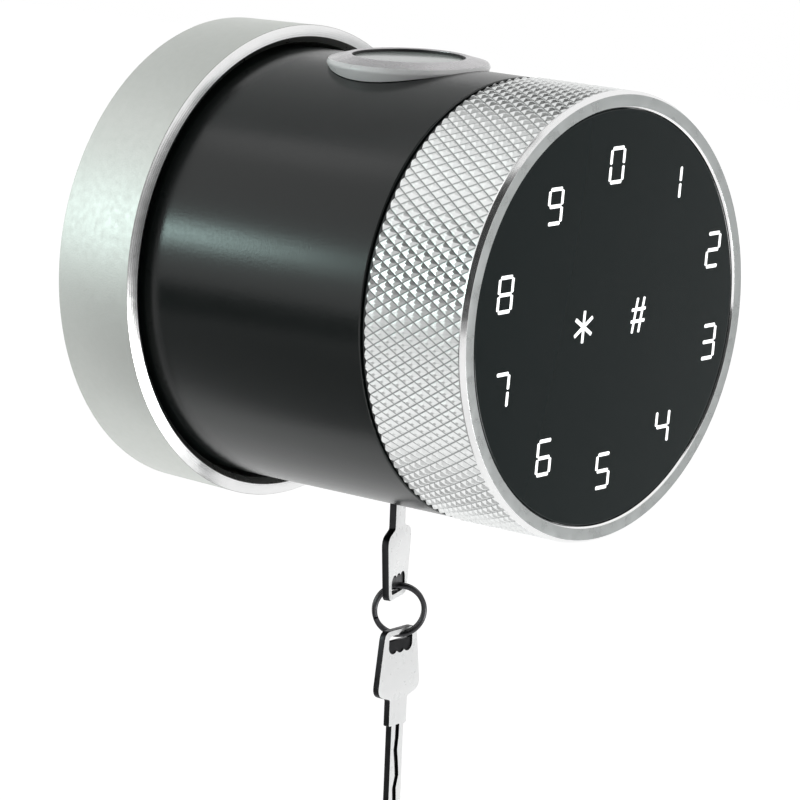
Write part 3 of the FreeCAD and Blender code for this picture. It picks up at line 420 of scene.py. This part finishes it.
def dark_steel():
    material = new_material("dark spring steel", (0.20, 0.20, 0.21), 0.32, 1.0)
    vary_roughness(material, noise(material, 1500, 3), 0.24, 0.42)
    return material


# Rose, barrel and the back of the lock

ROSE_BACK_INSET = 0.4 * MM
ROSE_EDGE_BEVEL = 0.55 * MM
ROSE_CREST_INSET = 1.9 * MM
ROSE_LIP_INSET = 2.9 * MM
ROSE_LIP_DROP = 0.74 * MM
ROSE_LEDGE_DEPTH = 4.5 * MM


def make_rose(side_material, edge_material, lip_material):
    crest = ROSE_RADIUS - ROSE_CREST_INSET
    bore = ROSE_RADIUS - ROSE_LIP_INSET
    bevel_back = ROSE_FRONT - ROSE_EDGE_BEVEL
    side = rounded([
        (bore, ROSE_LEDGE_DEPTH, 0),
        (bore, 0.2 * MM, 0.15 * MM),
        (ROSE_RADIUS - ROSE_BACK_INSET, 0.0, 0.3 * MM),
        (ROSE_RADIUS, bevel_back, 0.1 * MM),
        (crest, ROSE_FRONT, 0.12 * MM),
        (bore, ROSE_FRONT - ROSE_LIP_DROP, 0.2 * MM),
    ])
    piece = lathe("rose", [(p.x, p.y) for p in side], sharp=20)
    piece.data.materials.append(side_material)
    piece.data.materials.append(edge_material)
    piece.data.materials.append(lip_material)
    # Front faces outside the crest bevel take the lip material, a darker copy of the turned aluminium:
    # painted shade on the sloping lip and the outer edge round.
    for polygon in piece.data.polygons:
        depth = -polygon.center.y
        radius = math.hypot(polygon.center.x, polygon.center.z)
        if depth > bevel_back - 0.02 * MM and radius > bore + 0.1 * MM:
            polygon.material_index = 1 if crest < radius < ROSE_RADIUS - 0.08 * MM else 2
    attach(piece, "lock_body")
    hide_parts("rose_cover")


def make_barrel(material):
    back = ROSE_LEDGE_DEPTH
    inner = BARREL_RADIUS - 2 * MM
    outline = rounded([
        (inner, back, 0),
        (BARREL_RADIUS, back, 0),
        (BARREL_RADIUS, BARREL_FRONT, 0.3 * MM),
        (inner, BARREL_FRONT, 0.1 * MM),
    ])
    piece = lathe("barrel_shell", [(p.x, p.y) for p in outline], sharp=40)
    wear(piece, "lock_body", "barrel", material, "barrel")


# Knurled head: the rim, the knurl band and the floor behind

KNURL_STARTS = 120
KNURL_PITCH = 3.15 * MM
KNURL_ROWS = 12
KNURL_HEIGHT = 0.42 * MM
KNURL_TOP_SHARE = 0.24
# Share of the knurl's height over which the painted groove shade fades out.
KNURL_GROOVE_SHADE_SHARE = 0.3
KNURL_FRONT = 82.0 * MM
RIM_RADIUS = 35.64 * MM
RIM_WIDTH = 1.9 * MM
HEAD_BEVEL = 0.8 * MM


def knurl_angle(row, step):
    return math.tau * (step + (row % 2) / 2) / KNURL_STARTS


def make_knurl(material):
    """Raised diamonds between two crossing sets of grooves, closed to a ring behind."""
    low = HEAD_RADIUS - KNURL_HEIGHT
    back = KNURL_FRONT - KNURL_ROWS * KNURL_PITCH / 2
    bm = bmesh.new()
    lattice = []
    for row in range(KNURL_ROWS + 1):
        depth = back + row * KNURL_PITCH / 2
        angles = [knurl_angle(row, k) for k in range(KNURL_STARTS)]
        lattice.append([bm.verts.new(front_point(low, depth, angle)) for angle in angles])

    def pyramid(corners, depth, angle):
        """A blunt pyramid over a diamond or, at the band's edge, a half diamond."""
        centre = front_point(HEAD_RADIUS, depth, angle)
        top = []
        for corner in corners:
            raised = corner.co.copy()
            flat = math.hypot(raised.x, raised.z)
            raised.x *= HEAD_RADIUS / flat
            raised.z *= HEAD_RADIUS / flat
            top.append(bm.verts.new(centre.lerp(raised, KNURL_TOP_SHARE)))
        count = len(corners)
        for index in range(count):
            near = (index + 1) % count
            bm.faces.new((corners[index], corners[near], top[near], top[index]))
        bm.faces.new(top)

    for row in range(KNURL_ROWS + 1):
        depth = back + row * KNURL_PITCH / 2
        for step in range(KNURL_STARTS):
            # the diamond's centre lies between two lattice points of its own row
            left = lattice[row][step]
            right = lattice[row][(step + 1) % KNURL_STARTS]
            angle = knurl_angle(row, step + 0.5)
            upper = lattice[row + 1] if row < KNURL_ROWS else None
            lower = lattice[row - 1] if row > 0 else None
            index = (step + 1) % KNURL_STARTS if row % 2 else step
            corners = [left]
            if upper:
                corners.append(upper[index])
            corners.append(right)
            if lower:
                corners.append(lower[index])
            pyramid(corners, depth, angle)
    return finish_mesh("knurl", bm, 8)


def make_head_shell(edge_material, rim_material, inner_material, gap_material):
    bore = GLASS_RADIUS + 0.12 * MM
    rim_inner = RIM_RADIUS - RIM_WIDTH
    low = HEAD_RADIUS - KNURL_HEIGHT - 0.05 * MM
    back = KNURL_FRONT - KNURL_ROWS * KNURL_PITCH / 2
    outline = rounded([
        (bore, GLASS_BACK, 0),
        (bore, HEAD_FRONT - 0.28 * MM, 0.03 * MM),
        (rim_inner, HEAD_FRONT, 0.04 * MM),
        (RIM_RADIUS, HEAD_FRONT, 0.06 * MM),
        (HEAD_RADIUS, HEAD_FRONT - HEAD_BEVEL, 0.06 * MM),
        (HEAD_RADIUS, KNURL_FRONT, 0),
        (low, KNURL_FRONT - 0.1 * MM, 0),
        (low, back + 0.1 * MM, 0),
        (low, HEAD_BACK, 0.1 * MM),
        (8 * MM, HEAD_BACK, 0),
        (8 * MM, HEAD_BACK + 2 * MM, 0),
        (32 * MM, HEAD_BACK + 2 * MM, 0),
        (32 * MM, GLASS_BACK, 0),
    ])
    piece = lathe("head_shell", [(p.x, p.y) for p in outline], segments=360, sharp=20)
    for material in (edge_material, rim_material, inner_material, gap_material):
        piece.data.materials.append(material)
    for polygon in piece.data.polygons:
        depth = -polygon.center.y
        radius = math.hypot(polygon.center.x, polygon.center.z)
        if depth > HEAD_FRONT - 0.012 * MM and rim_inner < radius < RIM_RADIUS:
            polygon.material_index = 1
        elif radius <= rim_inner and depth > HEAD_FRONT - 0.4 * MM:
            polygon.material_index = 2
        # The floor under the knurl and the head's back edge take the gap material, dark plastic: painted
        # shade in the knurl's edge notches and in the gap to the barrel.
        elif depth < KNURL_FRONT - 1 * MM and radius > low - 1 * MM:
            polygon.material_index = 3
    return piece


def make_head(knurl_material, edge_material, rim_material, inner_material, gap_material):
    shell = make_head_shell(edge_material, rim_material, inner_material, gap_material)
    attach(shell, "head")
    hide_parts("knurled_ring")
    wear(make_knurl(knurl_material), "head", "knurled_ring", knurl_material)


# Glass and its lit digits

def make_glass(material):
    outline = rounded([
        (0, GLASS_BACK, 0),
        (GLASS_RADIUS, GLASS_BACK, 0),
        (GLASS_RADIUS, GLASS_FRONT, 0.35 * MM),
        (0, GLASS_FRONT, 0),
    ])
    piece = lathe("touch_glass", [(p.x, p.y) for p in outline], sharp=50)
    wear(piece, "head", "glass_panel", material, "glass_panel")


DIGIT_SPREAD_X = 28.5 * MM
DIGIT_SPREAD_Z = 24.6 * MM
DIGIT_SQUEEZE = 1.16
DIGIT_SHIFT = (0.65 * MM, -0.15 * MM)
DIGIT_RISE = 0.031
DIGIT_HALF_WIDTH = 1.62 * MM
DIGIT_HALF_HEIGHT = 2.68 * MM
DIGIT_STROKE = 0.6 * MM
DIGIT_SLANT = 0.08
DIGIT_LIFT = 0.03 * MM
SEGMENT_GAP = 0.17 * MM
SEGMENTS = {
    "0": "abcdef", "1": "bc", "2": "abged", "3": "abgcd", "4": "fgbc",
    "5": "afgcd", "6": "afgedc", "7": "abc", "8": "abcdefg", "9": "abcdfg",
}


def segment_ends():
    """Centre-line ends of the seven segments, from top round to the middle."""
    w = DIGIT_HALF_WIDTH
    t = DIGIT_HALF_HEIGHT
    return {
        "a": ((-w, t), (w, t)),
        "b": ((w, t), (w, 0)),
        "c": ((w, 0), (w, -t)),
        "d": ((-w, -t), (w, -t)),
        "e": ((-w, 0), (-w, -t)),
        "f": ((-w, t), (-w, 0)),
        "g": ((-w, 0), (w, 0)),
    }


def bar(bm, start, end, width, centre, point=0.5):
    """A bar between two points, its ends drawn in to blunt points."""
    a = Vector(start)
    b = Vector(end)
    along = (b - a).normalized()
    across = Vector((-along.y, along.x)) * width / 2
    nose = along * width / 2 * point
    a += along * SEGMENT_GAP
    b -= along * SEGMENT_GAP
    tip = across * 0.35
    outline = [
        a + tip, a + nose + across, b - nose + across, b + tip,
        b - tip, b - nose - across, a + nose - across, a - tip,
    ]
    shifted = [(centre[0] + p.x + p.y * DIGIT_SLANT, centre[1] + p.y) for p in outline]
    slab(bm, shifted, GLASS_FRONT - 0.2 * MM, GLASS_FRONT + DIGIT_LIFT)


def make_digits(material):
    for index in range(10):
        angle = math.tau * index / 10
        across = math.copysign(abs(math.sin(angle)) ** DIGIT_SQUEEZE, math.sin(angle)) * DIGIT_SPREAD_X
        height = math.cos(angle) * DIGIT_SPREAD_Z + across * DIGIT_RISE
        centre = (across + DIGIT_SHIFT[0], height + DIGIT_SHIFT[1])
        bm = bmesh.new()
        ends = segment_ends()
        for segment in SEGMENTS[str(index)]:
            bar(bm, *ends[segment], DIGIT_STROKE, centre)
        wear(finish_mesh(f"digit_{index}", bm), "head", "glass_panel", material)


STAR_CENTRE = (-6.1 * MM, -0.7 * MM)
STAR_ARM = 2.75 * MM
STAR_ANGLES = (90, 32, 148)
HASH_CENTRE = (8.1 * MM, -0.36 * MM)
HASH_HALF = 3.0 * MM
HASH_GAP = 0.85 * MM
HASH_LEAN = 0.45 * MM
HASH_HALF_WIDTH = 2.0 * MM
HASH_BAR_RISE = 0.95 * MM


def make_signs(material):
    bm = bmesh.new()
    for angle in STAR_ANGLES:
        tip = Vector((math.cos(math.radians(angle)), math.sin(math.radians(angle)))) * STAR_ARM
        bar(bm, -tip, tip, DIGIT_STROKE, STAR_CENTRE, 0.2)
    wear(finish_mesh("sign_star", bm), "head", "glass_panel", material)
    bm = bmesh.new()
    for side in (-1, 1):
        offset = side * HASH_GAP
        rise = side * HASH_BAR_RISE
        foot = (offset - HASH_LEAN, -HASH_HALF)
        head = (offset + HASH_LEAN, HASH_HALF)
        bar(bm, foot, head, DIGIT_STROKE * 0.9, HASH_CENTRE, 0.3)
        bar(bm, (-HASH_HALF_WIDTH, rise), (HASH_HALF_WIDTH, rise), DIGIT_STROKE * 0.9, HASH_CENTRE, 0.3)
    wear(finish_mesh("sign_hash", bm), "head", "glass_panel", material)


# Fingerprint reader

BEZEL_FOOT_RADIUS = 11.6 * MM
BEZEL_FOOT_TOP = 32.5 * MM
BEZEL_EDGE_TOP = 35.75 * MM
BEZEL_CORNER = (13.05 * MM, 36.48 * MM)
BEZEL_KNEE = (10.9 * MM, 37.02 * MM)
BEZEL_CREST = 9.9 * MM
BEZEL_BORE = 9.3 * MM


def make_bezel(slope_material, side_material):
    """The turned bezel; its skirt follows the barrel like a saddle."""
    outline = rounded([
        (BEZEL_BORE, WINDOW_TOP - 1.4 * MM, 0),
        (BEZEL_BORE, BEZEL_TOP - 0.12 * MM, 0.08 * MM),
        (BEZEL_CREST, BEZEL_TOP, 0.3 * MM),
        (BEZEL_KNEE[0], BEZEL_KNEE[1], 0.5 * MM),
        (BEZEL_CORNER[0], BEZEL_CORNER[1], 0.3 * MM),
        (BEZEL_RADIUS, BEZEL_EDGE_TOP, 0.6 * MM),
        (BEZEL_FOOT_RADIUS, BEZEL_FOOT_TOP, 0),
    ])
    piece = lathe("reader_bezel", [(p.x, p.y) for p in outline], place=up_point, sharp=25)
    for vertex in piece.data.vertices:
        if vertex.co.z < BEZEL_FOOT_TOP + 0.01 * MM:
            # the foot runs down its own slope to the barrel's face
            surface = math.sqrt(BARREL_RADIUS ** 2 - vertex.co.x ** 2) - 0.15 * MM
            share = (surface - BEZEL_FOOT_TOP) / (BEZEL_EDGE_TOP - BEZEL_FOOT_TOP)
            radius = BEZEL_FOOT_RADIUS + (BEZEL_RADIUS - BEZEL_FOOT_RADIUS) * min(1, share)
            flat = math.hypot(vertex.co.x, vertex.co.y)
            vertex.co.x *= radius / flat
            vertex.co.y *= radius / flat
            vertex.co.z = surface
    piece.data.transform(Matrix.Translation((0, READER_Y, 0)))
    piece.data.materials.append(slope_material)
    piece.data.materials.append(side_material)
    for polygon in piece.data.polygons:
        outward = math.hypot(polygon.center.x, polygon.center.y - READER_Y) > BEZEL_CORNER[0] - 0.1 * MM
        if outward or polygon.center.z < BEZEL_EDGE_TOP:
            polygon.material_index = 1
    wear(piece, "lock_body", "sensor_bezel", None, "sensor_bezel")


def make_window(material, gap_material):
    outline = rounded([
        (0, WINDOW_TOP - 1.1 * MM, 0),
        (WINDOW_RADIUS, WINDOW_TOP - 1.1 * MM, 0),
        (WINDOW_RADIUS, WINDOW_TOP, 0.12 * MM),
        (0, WINDOW_TOP, 0),
    ])
    piece = lathe("reader_window", [(p.x, p.y) for p in outline], place=up_point, segments=192, sharp=50)
    piece.data.transform(Matrix.Translation((0, READER_Y, 0)))
    wear(piece, "lock_body", "sensor_window", material, "sensor_window")
    seal = rounded([
        (WINDOW_RADIUS + 0.02 * MM, WINDOW_TOP - 1.1 * MM, 0),
        (BEZEL_BORE + 0.05 * MM, WINDOW_TOP - 1.1 * MM, 0),
        (BEZEL_BORE + 0.05 * MM, BEZEL_TOP - 0.16 * MM, 0),
        (WINDOW_RADIUS + 0.1 * MM, BEZEL_TOP - 0.22 * MM, 0.04 * MM),
    ])
    ring = lathe("reader_seal", [(p.x, p.y) for p in seal], place=up_point, segments=192)
    ring.data.transform(Matrix.Translation((0, READER_Y, 0)))
    wear(ring, "lock_body", "sensor_module", gap_material)


# Nodes whose CAD shape is right keep it and get a material

def paint(node, material):
    mesh = nodes[node].data
    mesh.materials.clear()
    mesh.materials.append(material)


def paint_nodes(steel, plastic, board, brass, spring, anodised, rubber, nickel_bright):
    groups = {
        steel: ["mounting_plate", "plate_screws", "output_hub", "hub_bridge", "guide_rods", "drive_shaft",
                "shaft_screws", "clutch_collar", "clutch_fork", "clutch_motor", "motor_screw", "key_cam",
                "front_bulkhead"],
        plastic: ["panel_carrier", "sensor_module"],
        board: ["control_board", "touch_board"],
        brass: ["head_bush", "sensor_nut", "cylinder_nut"],
        spring: ["return_spring", "fork_spring", "shaft_circlip", "cam_clip"],
        anodised: ["cylinder_housing"],
        rubber: ["door_gasket"],
        nickel_bright: ["cylinder_plug"],
    }
    for material, names in groups.items():
        for name in names:
            paint(name, material)


# Keys and the split ring

KEY_THICKNESS = 1.2 * MM
SPARE_DROP = 0.66 * MM
KEY_ANGLE = math.radians(20)
SPARE_ANGLE = math.radians(2)
BOW_END = 8.4 * MM
BOW_WIDTH = 11.5 * MM
BOW_LENGTH = 12.0 * MM
BOW_SHOULDER = 1.1 * MM
NECK_WIDTH = 4.7 * MM
NECK_LENGTH = 4.6 * MM
BLADE_WIDTH = 3.3 * MM
BLADE_LENGTH = 19.0 * MM
HOLE_RIM = 0.95 * MM
HOLE_HEIGHT = 3.1 * MM
HOLE_WIDTH = 6.2 * MM
HOLE_LOBE = 1.2 * MM
HOLE_CORNER = 1.1 * MM
LOBE_STEPS = 8
# The sheet in each bow's hole is painted shade.
SHADE_SHEET_TOP = 1.9 * MM
SHADE_SHEET_THICKNESS = 0.7 * MM
SHADE_SHEET_GAP = 0.03 * MM
TRACK_WIDTH = 1.0 * MM
TRACK_DEPTH = 0.45 * MM
TRACK_WAVES = (0.0, 0.05, 0.32, -0.05, -0.3, 0.28, 0.1, -0.12, 0.2, 0.0)


def key_outline(drop):
    neck_end = BOW_LENGTH + NECK_LENGTH
    tip = neck_end + BLADE_LENGTH - drop
    half = [
        (BOW_END / 2, 0.0, 1.6 * MM),
        (BOW_WIDTH / 2, BOW_LENGTH - BOW_SHOULDER, 1.9 * MM),
        (NECK_WIDTH / 2, BOW_LENGTH, 0.5 * MM),
        (NECK_WIDTH / 2, neck_end, 0.25 * MM),
        (BLADE_WIDTH / 2, neck_end, 0),
        (BLADE_WIDTH / 2, tip - 1.2 * MM, 0.2 * MM),
    ]
    mirrored = [(-x, z, radius) for x, z, radius in reversed(half)]
    return rounded(half + [(0, tip, 0.3 * MM)] + mirrored, 5)


def hole_outline():
    """A wide hole with three shallow lobes on the side away from the bow's end."""
    half = HOLE_WIDTH / 2
    apart = half - HOLE_LOBE
    high = HOLE_RIM + HOLE_HEIGHT - HOLE_LOBE
    cusp = math.acos(apart / 2 / HOLE_LOBE)
    points = rounded([
        (-half, high, 0),
        (-half, HOLE_RIM, HOLE_CORNER),
        (half, HOLE_RIM, HOLE_CORNER),
        (half, high, 0),
    ])
    for centre in (apart, 0.0, -apart):
        first = 0.1 if centre > 0 else cusp
        last = math.pi - 0.1 if centre < 0 else math.pi - cusp
        for step in range(LOBE_STEPS + 1):
            angle = first + (last - first) * step / LOBE_STEPS
            spot = Vector((math.cos(angle), math.sin(angle))) * HOLE_LOBE
            points.append(Vector((centre, high)) + spot)
    return points


def filled_plate(name, outlines, thickness, bevel):
    """A plate with holes and rounded edges, lying in the XY plane."""
    curve = bpy.data.curves.new(name, "CURVE")
    curve.dimensions = "2D"
    curve.fill_mode = "BOTH"
    curve.extrude = thickness / 2 - bevel
    curve.bevel_depth = bevel
    curve.bevel_resolution = 2
    curve.offset = -bevel
    for outline in outlines:
        spline = curve.splines.new("POLY")
        spline.points.add(len(outline) - 1)
        for point, spot in zip(spline.points, outline):
            point.co = (spot.x, spot.y, 0, 1)
        spline.use_cyclic_u = True
    holder = bpy.data.objects.new(name + "_curve", curve)
    mesh = bpy.data.meshes.new_from_object(holder)
    bpy.data.objects.remove(holder)
    bpy.data.curves.remove(curve)
    mesh.name = name
    return mesh


def track_cutter():
    """The wandering groove milled in both faces of the blade."""
    start = BOW_LENGTH + NECK_LENGTH - 0.1 * MM
    step = (BLADE_LENGTH + 1 * MM) / (len(TRACK_WAVES) - 1)
    bm = bmesh.new()
    for side in (-1, 1):
        low = side * (KEY_THICKNESS / 2 - TRACK_DEPTH)
        high = side * (KEY_THICKNESS / 2 + 1 * MM)
        rows = []
        for index, wave in enumerate(TRACK_WAVES):
            centre = wave * MM
            y = start + step * index
            row = []
            for x, z in ((-1, low), (1, low), (1, high), (-1, high)):
                row.append(bm.verts.new((centre + x * TRACK_WIDTH / 2, y, z)))
            rows.append(row)
        for first, second in zip(rows, rows[1:]):
            for k in range(4):
                near = (k + 1) % 4
                bm.faces.new((first[k], first[near], second[near], second[k]))
        bm.faces.new(rows[0])
        bm.faces.new(rows[-1])
    return finish_mesh("track_cutter", bm)


def key_place(turn, base, upright):
    """The plate's own Y becomes the key's length and its Z the face."""
    stand = Matrix.Rotation(math.pi / 2, 4, "X")
    if not upright:
        stand = Matrix.Rotation(math.pi, 4, "Y") @ stand
    return Matrix.Translation(base) @ Matrix.Rotation(turn, 4, "Z") @ stand


def make_lining(name, body, node, material, turn, base, upright):
    """A dark sheet that closes the lobes of the bow's hole: painted shade in the hole; the ring runs beside
    it.
    """
    half = HOLE_WIDTH / 2 - SHADE_SHEET_GAP
    foot = HOLE_RIM + HOLE_HEIGHT - SHADE_SHEET_GAP
    outline = rounded([
        (-half, SHADE_SHEET_TOP, 0),
        (half, SHADE_SHEET_TOP, 0),
        (half, foot, HOLE_LOBE),
        (-half, foot, HOLE_LOBE),
    ])
    mesh = filled_plate(name, [outline], SHADE_SHEET_THICKNESS, 0.05 * MM)
    mesh.transform(key_place(turn, base, upright))
    wear(add_object(name, mesh), body, node, material)


def make_key(name, body, node, face_material, edge_material, turn, base, upright, drop=0.0):
    mesh = filled_plate(name, [key_outline(drop), hole_outline()], KEY_THICKNESS, 0.1 * MM)
    piece = add_object(name, mesh)
    cutter = track_cutter()
    modifier = piece.modifiers.new("track", "BOOLEAN")
    modifier.operation = "DIFFERENCE"
    modifier.object = cutter
    depsgraph = bpy.context.evaluated_depsgraph_get()
    cut_mesh = bpy.data.meshes.new_from_object(piece.evaluated_get(depsgraph))
    piece.modifiers.clear()
    piece.data = cut_mesh
    bpy.data.objects.remove(cutter)
    cut_mesh.materials.clear()
    cut_mesh.materials.append(face_material)
    cut_mesh.materials.append(edge_material)
    inner = KEY_THICKNESS / 2 - 0.05 * MM
    for polygon in cut_mesh.polygons:
        flat = abs(polygon.normal.z) > 0.8 and abs(polygon.center.z) > inner
        polygon.material_index = 0 if flat else 1
    cut_mesh.transform(key_place(turn, base, upright))
    cut_mesh.polygons.foreach_set("use_smooth", [True] * len(cut_mesh.polygons))
    cut_mesh.set_sharp_from_angle(angle=math.radians(25))
    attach(piece, body)
    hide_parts(node)


def make_keys(face_material, edge_material):
    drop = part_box("inserted_key")[0][2]
    # Each key gets a dark sheet in its bow's hole: painted shade.
    make_lining("shade_sheet_in_plug_key", "key_plug", "inserted_key", edge_material, KEY_ANGLE,
                Vector((0, PLUG_Y, drop)), True)
    make_key("key_in_plug", "key_plug", "inserted_key", face_material, edge_material,
             KEY_ANGLE, Vector((0, PLUG_Y, drop)), True)
    low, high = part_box("spare_key")
    middle = Vector(((low[0] + high[0]) / 2, (low[1] + high[1]) / 2, high[2] - SPARE_DROP))
    make_lining("shade_sheet_in_hanging_key", "spare_key", "spare_key", edge_material, SPARE_ANGLE, middle, False)
    make_key("key_hanging", "spare_key", "spare_key", face_material, edge_material,
             SPARE_ANGLE, middle, False, SPARE_DROP)


RING_RADIUS = 4.6 * MM
RING_WIRE = 0.9 * MM
RING_ANGLE = math.radians(-45)
RING_TURNS = 2.12
RING_CROSSING = 0.16


def make_ring(material):
    """A split ring: two turns of wire that cross over near one side."""
    low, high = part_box("key_ring")
    centre = Vector([(a + b) / 2 for a, b in zip(low, high)])
    curve = bpy.data.curves.new("split_ring", "CURVE")
    curve.dimensions = "3D"
    curve.bevel_depth = RING_WIRE / 2
    curve.bevel_resolution = 4
    curve.use_fill_caps = True
    spline = curve.splines.new("POLY")
    steps = 150
    spline.points.add(steps)
    radius = RING_RADIUS - RING_WIRE / 2
    shift = RING_WIRE * 0.45
    start = math.radians(200)
    for step in range(steps + 1):
        turns = RING_TURNS * step / steps
        rise = (turns - (1 - RING_CROSSING / 2)) / RING_CROSSING
        rise = min(1, max(0, rise))
        rise = rise * rise * (3 - 2 * rise)
        angle = start + math.tau * turns
        side = -shift + 2 * shift * rise
        if turns > 2:
            side = shift
        spline.points[step].co = (radius * math.cos(angle), side, radius * math.sin(angle), 1)
    holder = bpy.data.objects.new("ring_curve", curve)
    mesh = bpy.data.meshes.new_from_object(holder)
    bpy.data.objects.remove(holder)
    bpy.data.curves.remove(curve)
    mesh.transform(Matrix.Translation(centre) @ Matrix.Rotation(RING_ANGLE, 4, "Z"))
    mesh.polygons.foreach_set("use_smooth", [True] * len(mesh.polygons))
    piece = add_object("split_ring", mesh)
    wear(piece, "key_ring", "key_ring", material, "key_ring")


# Studio: pale floor, soft lamps, white surroundings

FLOOR_HEIGHT = -0.9


def seen_directly(tree):
    """1 for camera, mirror and see-through rays, which show the white background."""
    path = tree.nodes.new("ShaderNodeLightPath")
    first = tree.nodes.new("ShaderNodeMath")
    first.operation = "MAXIMUM"
    second = tree.nodes.new("ShaderNodeMath")
    second.operation = "MAXIMUM"
    tree.links.new(path.outputs["Is Camera Ray"], first.inputs[0])
    tree.links.new(path.outputs["Is Glossy Ray"], first.inputs[1])
    tree.links.new(first.outputs[0], second.inputs[0])
    tree.links.new(path.outputs["Is Transmission Ray"], second.inputs[1])
    return second.outputs[0]


WORLD_LIGHT = 0.7
FLOOR_GLOW = 0.4


def make_world():
    world = bpy.data.worlds.new("studio")
    scene.world = world
    world.use_nodes = True
    tree = world.node_tree
    tree.nodes.clear()
    plain = tree.nodes.new("ShaderNodeBackground")
    plain.inputs["Color"].default_value = (1, 1, 1, 1)
    plain.inputs["Strength"].default_value = WORLD_LIGHT
    white = tree.nodes.new("ShaderNodeBackground")
    white.inputs["Color"].default_value = (1, 1, 1, 1)
    white.inputs["Strength"].default_value = 1.0
    mix = tree.nodes.new("ShaderNodeMixShader")
    output = tree.nodes.new("ShaderNodeOutputWorld")
    tree.links.new(seen_directly(tree), mix.inputs["Fac"])
    tree.links.new(plain.outputs[0], mix.inputs[1])
    tree.links.new(white.outputs[0], mix.inputs[2])
    tree.links.new(mix.outputs[0], output.inputs["Surface"])


def make_floor():
    """A pale floor whose glow brings its lit colour up to white and leaves its shadow."""
    bm = bmesh.new()
    size = 6.0
    for x, y in ((-1, -1), (1, -1), (1, 1), (-1, 1)):
        bm.verts.new((x * size, y * size, FLOOR_HEIGHT))
    bm.faces.new(bm.verts)
    floor = finish_mesh("floor", bm)
    material = new_material("pale floor", (0.92, 0.92, 0.92), 0.9)
    tree = material.node_tree
    glow = tree.nodes.new("ShaderNodeEmission")
    strength = tree.nodes.new("ShaderNodeMath")
    strength.operation = "MULTIPLY"
    strength.inputs[1].default_value = FLOOR_GLOW
    tree.links.new(seen_directly(tree), strength.inputs[0])
    tree.links.new(strength.outputs[0], glow.inputs["Strength"])
    both = tree.nodes.new("ShaderNodeAddShader")
    tree.links.new(tree.nodes["Principled BSDF"].outputs[0], both.inputs[0])
    tree.links.new(glow.outputs[0], both.inputs[1])
    tree.links.new(both.outputs[0], tree.nodes["Material Output"].inputs["Surface"])
    floor.data.materials.append(material)


def direction(azimuth, elevation):
    """A unit vector; azimuth runs from the front (-Y) towards +X."""
    turn = math.radians(azimuth)
    lift = math.radians(elevation)
    level = math.cos(lift)
    return Vector((math.sin(turn) * level, -math.cos(turn) * level, math.sin(lift)))


def card(name, azimuth, elevation, distance, width, height, shade):
    """A studio card that faces the lock, dark or grey, to shape what the metal shows."""
    bm = bmesh.new()
    for x, y in ((-1, -1), (1, -1), (1, 1), (-1, 1)):
        bm.verts.new((x * width / 2, y * height / 2, 0))
    bm.faces.new(bm.verts)
    piece = finish_mesh(name, bm)
    toward = direction(azimuth, elevation)
    piece.rotation_euler = toward.to_track_quat("Z", "Y").to_euler()
    piece.location = STUDIO_MIDDLE + toward * distance
    piece.data.materials.append(new_material(name, (shade, shade, shade), 0.9))


def softbox(name, azimuth, elevation, distance, width, height, power, color=(1, 1, 1)):
    data = bpy.data.lights.new(name, "AREA")
    data.shape = "RECTANGLE"
    data.size = width
    data.size_y = height
    data.energy = power
    data.color = color
    lamp = bpy.data.objects.new(name, data)
    toward = direction(azimuth, elevation)
    lamp.rotation_euler = toward.to_track_quat("Z", "Y").to_euler()
    lamp.location = STUDIO_MIDDLE + toward * distance
    scene.collection.objects.link(lamp)


STUDIO_MIDDLE = Vector((0, -0.04, 0))


def make_studio():
    card("dark card behind the camera", -50, 28, 1.3, 1.5, 1.7, 0.05)
    card("grey card on the right", 52, -8, 1.1, 0.9, 0.9, 0.8)
    card("dark card low on the left", -118, -40, 0.6, 0.55, 0.42, 0.42)
    card("dark card overhead", -95, 74, 0.6, 0.45, 0.45, 0.05)
    card("pale card high behind", 160, 46, 0.9, 0.8, 0.6, 0.98)
    card("dark strip at the side", -131, -13, 0.9, 0.6, 0.2, 0.05)
    softbox("low side softbox", -131, 13, 1.3, 0.26, 0.16, 1.7, (0.72, 1.0, 0.95))
    softbox("front fill", 12, -22, 1.0, 0.4, 0.3, 3.4)
    softbox("top softbox", -165, 62, 1.1, 0.6, 0.6, 0.7)


def build():
    scene.view_settings.view_transform = "Standard"
    make_camera()
    bright = bright_aluminium()
    rim = bright_aluminium("flat turned rim", (0.62, 0.64, 0.635), 0.3)
    polished = bright_aluminium("polished inner edge", (0.92, 0.92, 0.92), 0.12)
    plastic = dark_plastic()
    # The rose's lip takes a darker copy of the turned aluminium as painted shade.
    make_rose(blasted_aluminium(), bright, bright_aluminium("turned lip with painted shade", (0.30, 0.30, 0.29), 0.3))
    make_barrel(black_coating())
    # The head's knurl floor and back edge take the dark plastic as painted shade.
    make_head(knurl_metal(), bright, rim, polished, plastic)
    make_glass(touch_glass())
    lit = lit_digit()
    make_digits(lit)
    make_signs(lit)
    make_bezel(bright_aluminium("reader bezel slope", (0.47, 0.46, 0.47), 0.27), bezel_band())
    make_window(reader_window(), plastic)
    key_face = nickel()
    bow_face = key_nickel()
    # The keys' edges and the sheets in their bow holes share a near-black metal; in the holes it is painted
    # shade.
    key_edge_and_hole_shade = nickel("dark key edge and painted hole shade", (0.035, 0.035, 0.037), 0.35)
    make_keys(bow_face, key_edge_and_hole_shade)
    make_ring(nickel("dark ring wire", (0.055, 0.055, 0.058), 0.28))
    paint_nodes(plain_steel(), plastic, board_green(), brass_metal(), dark_steel(),
                nickel("black anodised", (0.03, 0.03, 0.032), 0.35), foam_rubber(), key_face)
    make_world()
    make_floor()
    make_studio()


build()
